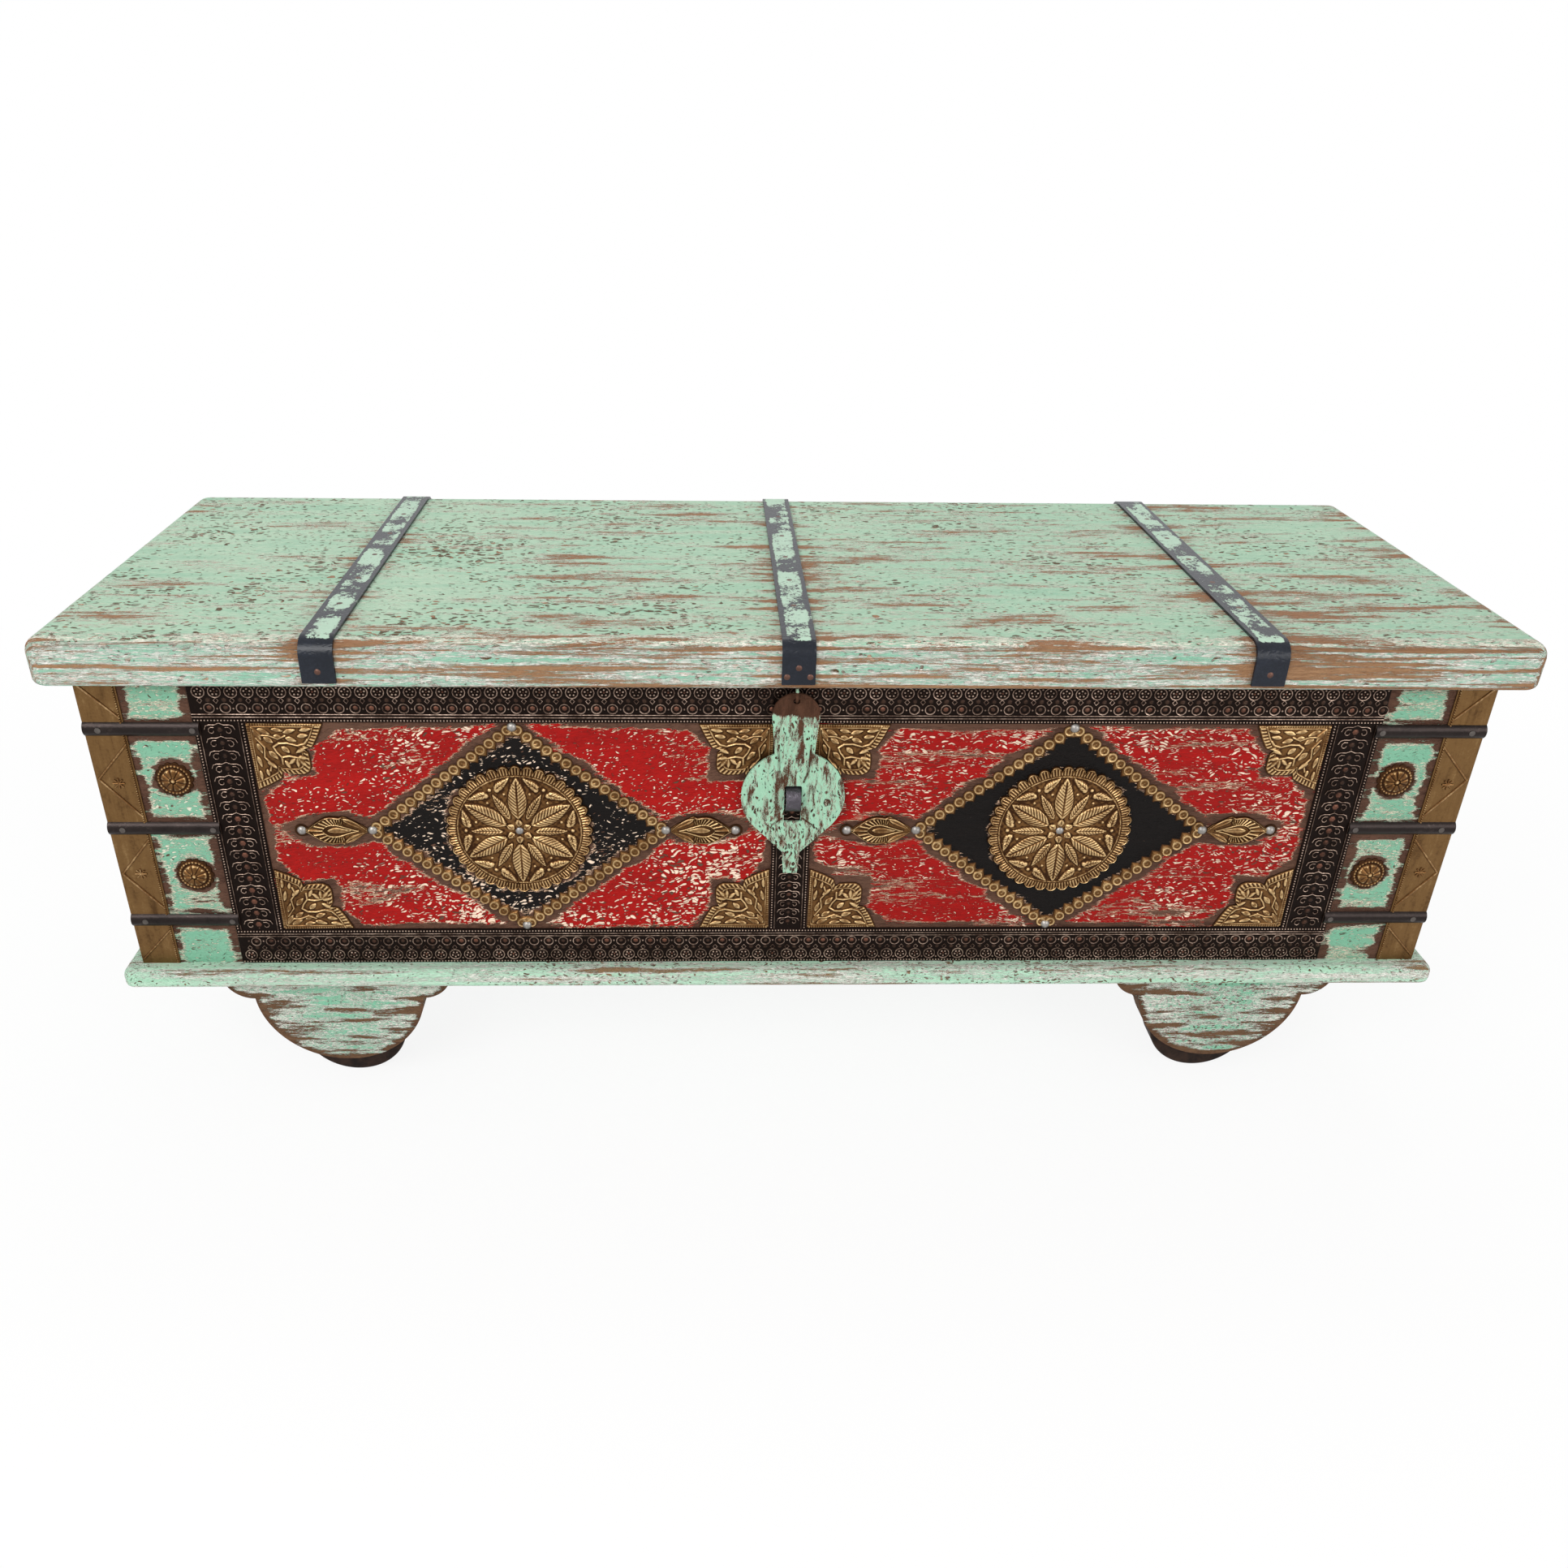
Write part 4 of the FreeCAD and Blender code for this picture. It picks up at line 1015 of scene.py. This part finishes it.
def corner_plan(u, v):
    turn, share = (1 - u) * np.pi / 4, (v + 1) / 2
    radius = share * np.interp(turn, outline_turns, outline_reach)
    x, z = radius * np.cos(turn), radius * np.sin(turn)
    h = np.zeros_like(x)
    for x0, z0, x1, z1, width in corner_leaves:
        way, size = math.atan2(z1 - z0, x1 - x0), math.hypot(x1 - x0, z1 - z0)
        h = tallest(h, leaf(x, z, (x0, z0), way, size, width, 1.6, no_barbs, 0.8, 0.3))
    for stem in corner_stems:
        h = tallest(h, 1.1 * ridge(to_path(x, z, stem), 0.75))
    nearer, further = np.minimum(x, z), np.maximum(x, z)
    line = 0.7 * ridge(share - 0.885, 0.012)
    ticks = 0.8 * waves(112 * turn) * ((share > 0.90) & (share < 0.975))
    side_ticks = 0.4 * waves(further / 0.32) * (nearer < 2.2)
    straight = 0.6 * ridge(nearer - 3.0, 0.5) * (share < 0.9)
    h = tallest(h, line, ticks, side_ticks, straight)
    rim = (share > 0.985) | (share < 0.01) | (np.abs(u) > 0.985)
    return x, z, np.where(rim, low_rim, sheet_rise + h * 0.85)


far_x, far_z = panel_half[0] - 1 * mm, panel_half[1] - 1 * mm
corner_places = [move((x_way * far_x, 0, z_way * far_z)) @ Matrix.Diagonal((-x_way, 1, -z_way, 1))
                 for x_way, z_way in four_corners]
corner = pressed_sheet(160, 110, corner_plan, ground=0.27)
on_panels(corner, "corner_relief", "corner_ornaments", corner_places)

# %% [markdown]
# Each finial is a feather that points away from the lozenge: slanted barbs fan out round a
# drop-shaped eye, and two petals open beside its stem. Its grid runs along the feather in u and
# across it in v, and the half width at each place along it gives the outline.

# %% Finials
finial_along = [0, 2, 6, 11, 16, 20, 22.5, 25, 30, 34, 38, 42, 46, 49, 51]
finial_half = [1.4, 3.2, 6.2, 9.4, 12.2, 13.6, 12.6, 13.0, 13.4, 12.6, 10.6, 7.9, 4.8, 2.4, 1.6]


def finial_plan(u, v):
    x = (u + 1) / 2 * 51
    half = np.interp(x, finial_along, finial_half)
    z = v * half
    inwards = half - np.abs(z)
    turn = np.arctan2(np.abs(z), x - 23)
    feather = x > 20
    h = np.where(inwards > 2.2, 0.5 + 1.3 * waves(30 * turn) ** 1.5 * feather, 0.3)
    h = tallest(h, 1.9 * ridge(inwards - 1.2, 0.5) * feather)
    eye_share = np.clip((x - 7) / 30, 0, 1)
    eye_half = 5.6 * np.sin(np.pi * eye_share ** 1.9) ** 0.7
    by_eye = (eye_share > 0) & (eye_share < 1)
    h = np.where((np.abs(z) < eye_half) & by_eye, 0.1, h)
    h = tallest(h, 1.9 * ridge(np.abs(z) - eye_half, 0.7) * by_eye,
                leaf(x, z, (12, 0), 0.0, 21, 6.0, 2.2, no_barbs, 1.5, 0.5))
    for way in (-1, 1):
        petal = leaf(x, z, (1, way), way * 0.5, 21, 5.6, 2.2, no_barbs, 1.5, 0.6)
        h = np.where((petal > 0) & (x < 21), petal + 0.2, h)
    rim = (np.abs(v) > 0.97) | (np.abs(u) > 0.985)
    return x, z, np.where(rim, low_rim, 1.1 + h * np.clip(inwards / 0.6, 0.3, 1))


facing = (math.pi / 2, 0, 0)
finial = pressed_sheet(150, 100, finial_plan, ground=0.2, painted_shading=1.2)
pad = shape(bpy.ops.mesh.primitive_cylinder_add, vertices=24, radius=5.6 * mm, depth=1.2 * mm,
            rotation=facing, location=(54.2 * mm, -0.6 * mm, 0))
start_x = diamond_half[0] + 4 * mm
finial_places = [move((way * start_x, 0, 0)) @ Matrix.Diagonal((way, 1, 1, 1)) for way in (-1, 1)]
on_panels(joined("finial", [finial, pad]), "finial_relief", "finials", finial_places)

# %% [markdown]
# Four small rosettes sit between the corner straps. They are pressed like the medallions: a
# domed middle with ten petals, a beaded ring, and a rim with fourteen scallops.

# %% Side rosettes
def rosette_plan(u, v):
    turn, share = -np.pi * u, (v + 1) / 2
    radius = share * (13.6 + 2.0 * np.abs(np.cos(7 * turn)) ** 0.7)
    x, z = radius * np.cos(turn), radius * np.sin(turn)
    boss = knob(x, z, (0, 0), 10, 2.6) + knob(x, z, (0, 0), 2.4, 1.3)
    petals = 1.2 * np.abs(np.cos(4.5 * turn)) ** 0.6 * (radius > 2.6) * (radius < 9.6)
    ring = ridge(radius - 12.2, 0.9) * (0.9 + 0.35 * np.cos(28 * turn))
    h = tallest(boss + petals, ring)
    return x, z, np.where(share > 0.99, low_rim, 1.2 + h * 0.9)


rosette = pressed_sheet(140, 36, rosette_plan, ground=0.12, painted_shading=0.72)
copies = [placed_copy(rosette, move((x, face_y, corner_bars_z + z)))
          for x in (-rosette_x, rosette_x) for z in (-rosette_rise, rosette_rise)]
finish_piece(joined("side_rosette_relief", copies), brass, "chest", "brass", "side_rosettes")
bpy.data.objects.remove(rosette)

# %% [markdown]
# The lozenge frames and the borders are strips with a motif that repeats. Each motif is modelled
# once, from small primitives, and an Array modifier repeats it along the strip. Rings are torus
# primitives and beads are short cones of six sides or fewer, because hundreds of them are
# needed and each has to stay light.

# %% Small shapes for the strips
def ring_shape(radius, wire, x, z, sides=12):
    return shape(bpy.ops.mesh.primitive_torus_add, major_segments=sides, minor_segments=5,
                 major_radius=radius, minor_radius=wire, rotation=facing, location=(x, 0, z))


def bead_shape(radius, height, x=0, z=0, sides=6):
    return shape(bpy.ops.mesh.primitive_cone_add, vertices=sides, radius1=radius, depth=height,
                 radius2=radius * 0.45, rotation=facing, location=(x, -height / 2, z))


def bar_shape(length, width, height, z=0):
    return shape(bpy.ops.mesh.primitive_cylinder_add, vertices=8, radius=0.5, depth=1,
                 scale=(width, height * 2, length), rotation=(0, math.pi / 2, 0), location=(0, 0, z))


def run_of(start, end):
    """The way from one point of the front to another, each given by its x and z."""
    return Vector((end[0] - start[0], 0, end[1] - start[1]))


def laid_along(row, start, end):
    run = run_of(start, end)
    middle = ((start[0] + end[0]) / 2, 0, (start[1] + end[1]) / 2)
    row.data.transform(move(middle) @ Matrix.Rotation(-math.atan2(run.z, run.x), 4, "Y"))
    return row


def bar_between(start, end, width, height, overlap=0):
    return laid_along(bar_shape(run_of(start, end).length + overlap, width, height), start, end)


def chain(points, width, height):
    """Short bars from point to point."""
    return [bar_between(start, end, width, height, 0.4 * width)
            for start, end in zip(points, points[1:])]


def repeated(piece, pitch, count):
    """The motif repeated along X, centred on its own middle."""
    only(piece)
    row = piece.modifiers.new("row", "ARRAY")
    row.use_relative_offset = False
    row.use_constant_offset = True
    row.constant_offset_displace = (pitch, 0, 0)
    row.count = count
    bpy.ops.object.modifier_apply(modifier=row.name)
    piece.data.transform(move((-pitch * (count - 1) / 2, 0, 0)))
    return piece


print("strip helpers are ready")

# %% [markdown]
# A lozenge's edge is a row of ringed discs, each with a pointed lip towards the lozenge's middle.
# The row is made once, flat along X, and four leaning copies close the frame. Its relief number
# comes from how far each point stands out, because solid shapes have no grid to average over.

# %% Lozenge frames
edge_length = math.hypot(*diamond_half)
links = 16
pitch = edge_length / links


def relief_by_height(piece, low, high):
    """The relief number of a piece made of solid shapes: from how far a point stands out, so that raised
    points get the painted highlight colour.
    """
    store(piece, "relief", np.clip((-points_of(piece)[:, 1] - low) / (high - low), 0, 1))


def lozenge_link():
    """A ringed disc with a pointed lip on the side that faces the lozenge's middle."""
    disc = shape(bpy.ops.mesh.primitive_cylinder_add, vertices=16, radius=4.9 * mm, depth=1.0 * mm,
                 rotation=facing, location=(0, -0.5 * mm, 0))
    lip = bead_shape(5.0 * mm, 1.4 * mm, 0, -3.0 * mm, sides=4)
    ring = ring_shape(3.5 * mm, 1.05 * mm, 0, 0.4 * mm)
    ring.data.transform(move((0, -0.9 * mm, 0)))
    dot = bead_shape(1.3 * mm, 1.5 * mm, 0, 0.4 * mm)
    return joined("link", [disc, lip, ring, dot])


spine = bar_shape(edge_length, 5 * mm, 0.7 * mm, -0.5 * mm)
strip = joined("strip", [repeated(lozenge_link(), pitch, links), spine])
relief_by_height(strip, 0.2 * mm, 2.1 * mm)
slope = math.atan2(diamond_half[1], diamond_half[0])
half_x, half_z = diamond_half[0] / 2, diamond_half[1] / 2
strip_places = [move((x_way * half_x, 0, z_way * half_z)) @ Matrix.Rotation(x_way * z_way * slope, 4, "Y")
                @ Matrix.Diagonal((1, 1, z_way, 1)) for x_way, z_way in four_corners]
on_panels(strip, "lozenge_frame", "diamond_trim", strip_places)

# %% [markdown]
# The borders are dark embossed sheet. The two long ones are the same strip, turned over: along
# the outside a rope of beads, then a row of ringed flowers, small lozenges with flat bosses
# between, a row of rings with copper showing through the black, and two fine rails and a rope
# beside the panels. The copper spots get a second stored number, copper, that the material reads.

# %% Long borders
def copper_spot(radius, x, z, sides):
    spot = bead_shape(radius, 0.55 * mm, x, z, sides)
    store(spot, "copper", np.ones(len(spot.data.vertices)))
    return spot


def rope(length, z):
    pitch = 2.6 * mm
    return repeated(bead_shape(1.15 * mm, 0.85 * mm, z=z), pitch, int(length / pitch))


def rail_strip(length):
    """A long border along X, its outer edge at the top, with its back on y = 0."""
    step = 12.6 * mm
    count = int((length - 3 * mm) / step)
    flower_z, ring_z = 8.8 * mm, -5.2 * mm
    petals = [at(2.5 * mm, 90 + 72 * k) for k in range(5)]
    shapes = [bead_shape(1.4 * mm, 0.75 * mm, x, flower_z + z, sides=5) for x, z in petals]
    for way in (1, -1):
        diamond = [(0, 3.6 * mm), (way * 1.9 * mm, 1.3 * mm), (0, -1.0 * mm)]
        shapes += chain(diamond, 0.9 * mm, 0.7 * mm)
    shapes += [ring_shape(4.9 * mm, 0.8 * mm, 0, flower_z),
               ring_shape(4.0 * mm, 0.8 * mm, step / 2, ring_z),
               copper_spot(2.2 * mm, step / 2, ring_z, sides=6),
               copper_spot(1.1 * mm, 0, flower_z, sides=5),
               bead_shape(1.3 * mm, 0.7 * mm, 0, -5.6 * mm),
               bead_shape(1.3 * mm, 0.7 * mm, step / 2, 12.4 * mm),
               bead_shape(2.6 * mm, 0.5 * mm, step / 2, 1.6 * mm)]
    row = repeated(joined("motif", shapes), step, count)
    rails = [bar_shape(length, 1.2 * mm, 0.75 * mm, z) for z in (-10.6 * mm, -13.0 * mm)]
    return joined("rail", [row, rope(length, 15.8 * mm), rope(length, -15.8 * mm)] + rails)


long_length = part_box("border_top")[1].x * 2
rail = rail_strip(long_length)
relief_by_height(rail, 0.2 * mm, 0.9 * mm)
turned_over = Matrix.Diagonal((1, 1, -1, 1))
half_rail = 17.5 * mm
for side, z, way in (("top", top_z - half_rail, Matrix()), ("bottom", floor_z + half_rail, turned_over)):
    piece = placed_copy(rail, move((0, sheet_y, z)) @ way, "border_relief_" + side)
    finish_piece(piece, border_metal, "chest", "dark_sheet")
bpy.data.objects.remove(rail)

# %% [markdown]
# The upright borders carry wide hoods, and under each hood two curls and a spot of copper, all
# made of short round bars. The middle one has the same motif at a smaller unit. Its relief stays
# under a millimetre, because the hasp's tail hangs close over it.

# %% Upright borders
def stile_strip(length, width, unit):
    """An upright border, made along X: hoods, each over two curls and a spot of copper."""
    step = 11.6 * unit
    half_hood = [(1.6, 3.6), (1.5, 8), (2.6, 10.8), (5.5, 12)]
    hood = [(x, -z) for x, z in half_hood[::-1]] + [(0, 0)] + half_hood
    shapes = chain([((x - 5.5) * unit, z * unit) for x, z in hood], 1.1 * mm, 0.85 * mm)
    for way in (-1, 1):
        curl = []
        for k in range(8):
            x, z = at(3.5 - 0.3 * k, -30 + 42 * k)
            curl.append(((1.4 - x) * unit, way * (6.4 + z) * unit))
        shapes += chain(curl, 1.1 * mm, 0.8 * mm)
    shapes += [copper_spot(2.7 * unit, 0.8 * unit, 0, sides=6),
               bead_shape(1.1 * unit, 0.6 * mm, 4.6 * unit)]
    parts = [repeated(joined("motif", shapes), step, int(length / step))]
    for way in (-1, 1):
        parts.append(rope(length, way * (width / 2 - 1.7 * mm)))
        parts.append(bar_shape(length, 1.1 * mm, 0.75 * mm, way * (width / 2 - 4.3 * mm)))
    return joined("stile", parts)


upright = Matrix.Rotation(math.pi / 2, 4, "Y")
stile_length = panel_half[1] * 2
stile_x = 455 * mm
for side, x, width, unit in (("left", -stile_x, 40 * mm, 1.0 * mm), ("right", stile_x, 40 * mm, 1.0 * mm),
                             ("middle", 0, 32 * mm, 0.78 * mm)):
    stile = stile_strip(stile_length, width, unit)
    stile.name = "border_relief_" + side
    relief_by_height(stile, 0.25 * mm, 0.95 * mm)
    stile.data.transform(move((x, sheet_y, mid_z)) @ upright)
    finish_piece(stile, border_metal, "chest", "dark_sheet")

# %% [markdown]
# The brass corner sheets are nearly plain. A beaded line runs up beside the paint, rolled
# diagonals meet it in zigzags, and a small eight-pointed star is punched between each pair. The
# same pattern is turned round the corner for the side.

# %% Corner sheet pattern
def beaded_line(start, end, step=2.1 * mm):
    length = run_of(start, end).length
    count = max(2, int(length / step))
    row = repeated(bead_shape(1.2 * mm, 1.1 * mm, sides=5), length / count, count)
    return laid_along(row, start, end)


def star(x, z):
    rays = []
    for k in range(4):
        ray = bar_shape(9.5 * mm, 1.6 * mm, 1.0 * mm)
        ray.data.transform(move((x, 0, z)) @ Matrix.Rotation(k * math.pi / 4, 4, "Y"))
        rays.append(ray)
    return rays


inner, outer = 531 * mm, 559 * mm
zigzag = ((236, 265.4), (213, 182), (147, 182), (125, 92), (57, 92), (35, 5))
pattern = [beaded_line((inner, floor_z), (inner, top_z - 1 * mm))]
for inner_z, outer_z in zigzag:
    low_end, high_end = (inner, floor_z + inner_z * mm), (outer, floor_z + outer_z * mm)
    pattern.append(bar_between(low_end, high_end, 2.2 * mm, 1.1 * mm))
for star_z in (178, 92):
    pattern += star(544 * mm, floor_z + star_z * mm)
front_pattern = joined("corner_pattern", pattern)
relief_by_height(front_pattern, -0.5 * mm, 1.9 * mm)
front_pattern.data.transform(move((0, sheet_y, 0)))
corner_edge = Vector((side_x + 1.2 * mm, sheet_y, 0))
swap = Matrix(((0, -1, 0, 0), (-1, 0, 0, 0), (0, 0, 1, 0), (0, 0, 0, 1)))
round_corner = move(corner_edge) @ swap @ move(-corner_edge)
side_pattern = placed_copy(front_pattern, round_corner)
right_pattern = joined("corner_beads_right", [front_pattern, side_pattern])
left_pattern = placed_copy(right_pattern, Matrix.Diagonal((-1, 1, 1, 1)), "corner_beads_left")
for piece in (right_pattern, left_pattern):
    finish_piece(piece, brass, "chest", "brass")

# %% [markdown]
# The hasp is a forged plate with a raised middle: two creases come down the neck and close in on
# the slot. They are made as thin half-round bars laid on the plate, tilted with it about the eye
# that it hangs from.

# %% Hasp creases
eye_low, eye_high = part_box("hasp_eye")
eye_y = (eye_low.y + eye_high.y) / 2
eye_z = eye_low.z + 6.8 * mm
tilt = math.radians(2.0)
# x and z of both ends of each crease, in millimetres from the eye
crease_lines = ((13.0, -44, 12.0, -68), (12.0, -68, 8.2, -79), (8.2, -113, 17.0, -120))
creases = []
for way in (-1, 1):
    for x0, z0, x1, z1 in crease_lines:
        start, end = (x0 * mm * way, z0 * mm), (x1 * mm * way, z1 * mm)
        creases.append(bar_between(start, end, 1.6 * mm, 0.8 * mm))
crease_piece = joined("hasp_creases", creases)
store(crease_piece, "crease", np.ones(len(crease_piece.data.vertices)))
hung = move((0, eye_y, eye_z)) @ Matrix.Rotation(tilt, 4, "X") @ move((0, -1.0 * mm, 0))
crease_piece.data.transform(hung)
finish_piece(crease_piece, hasp_paint, "hasp", "hasp_iron")
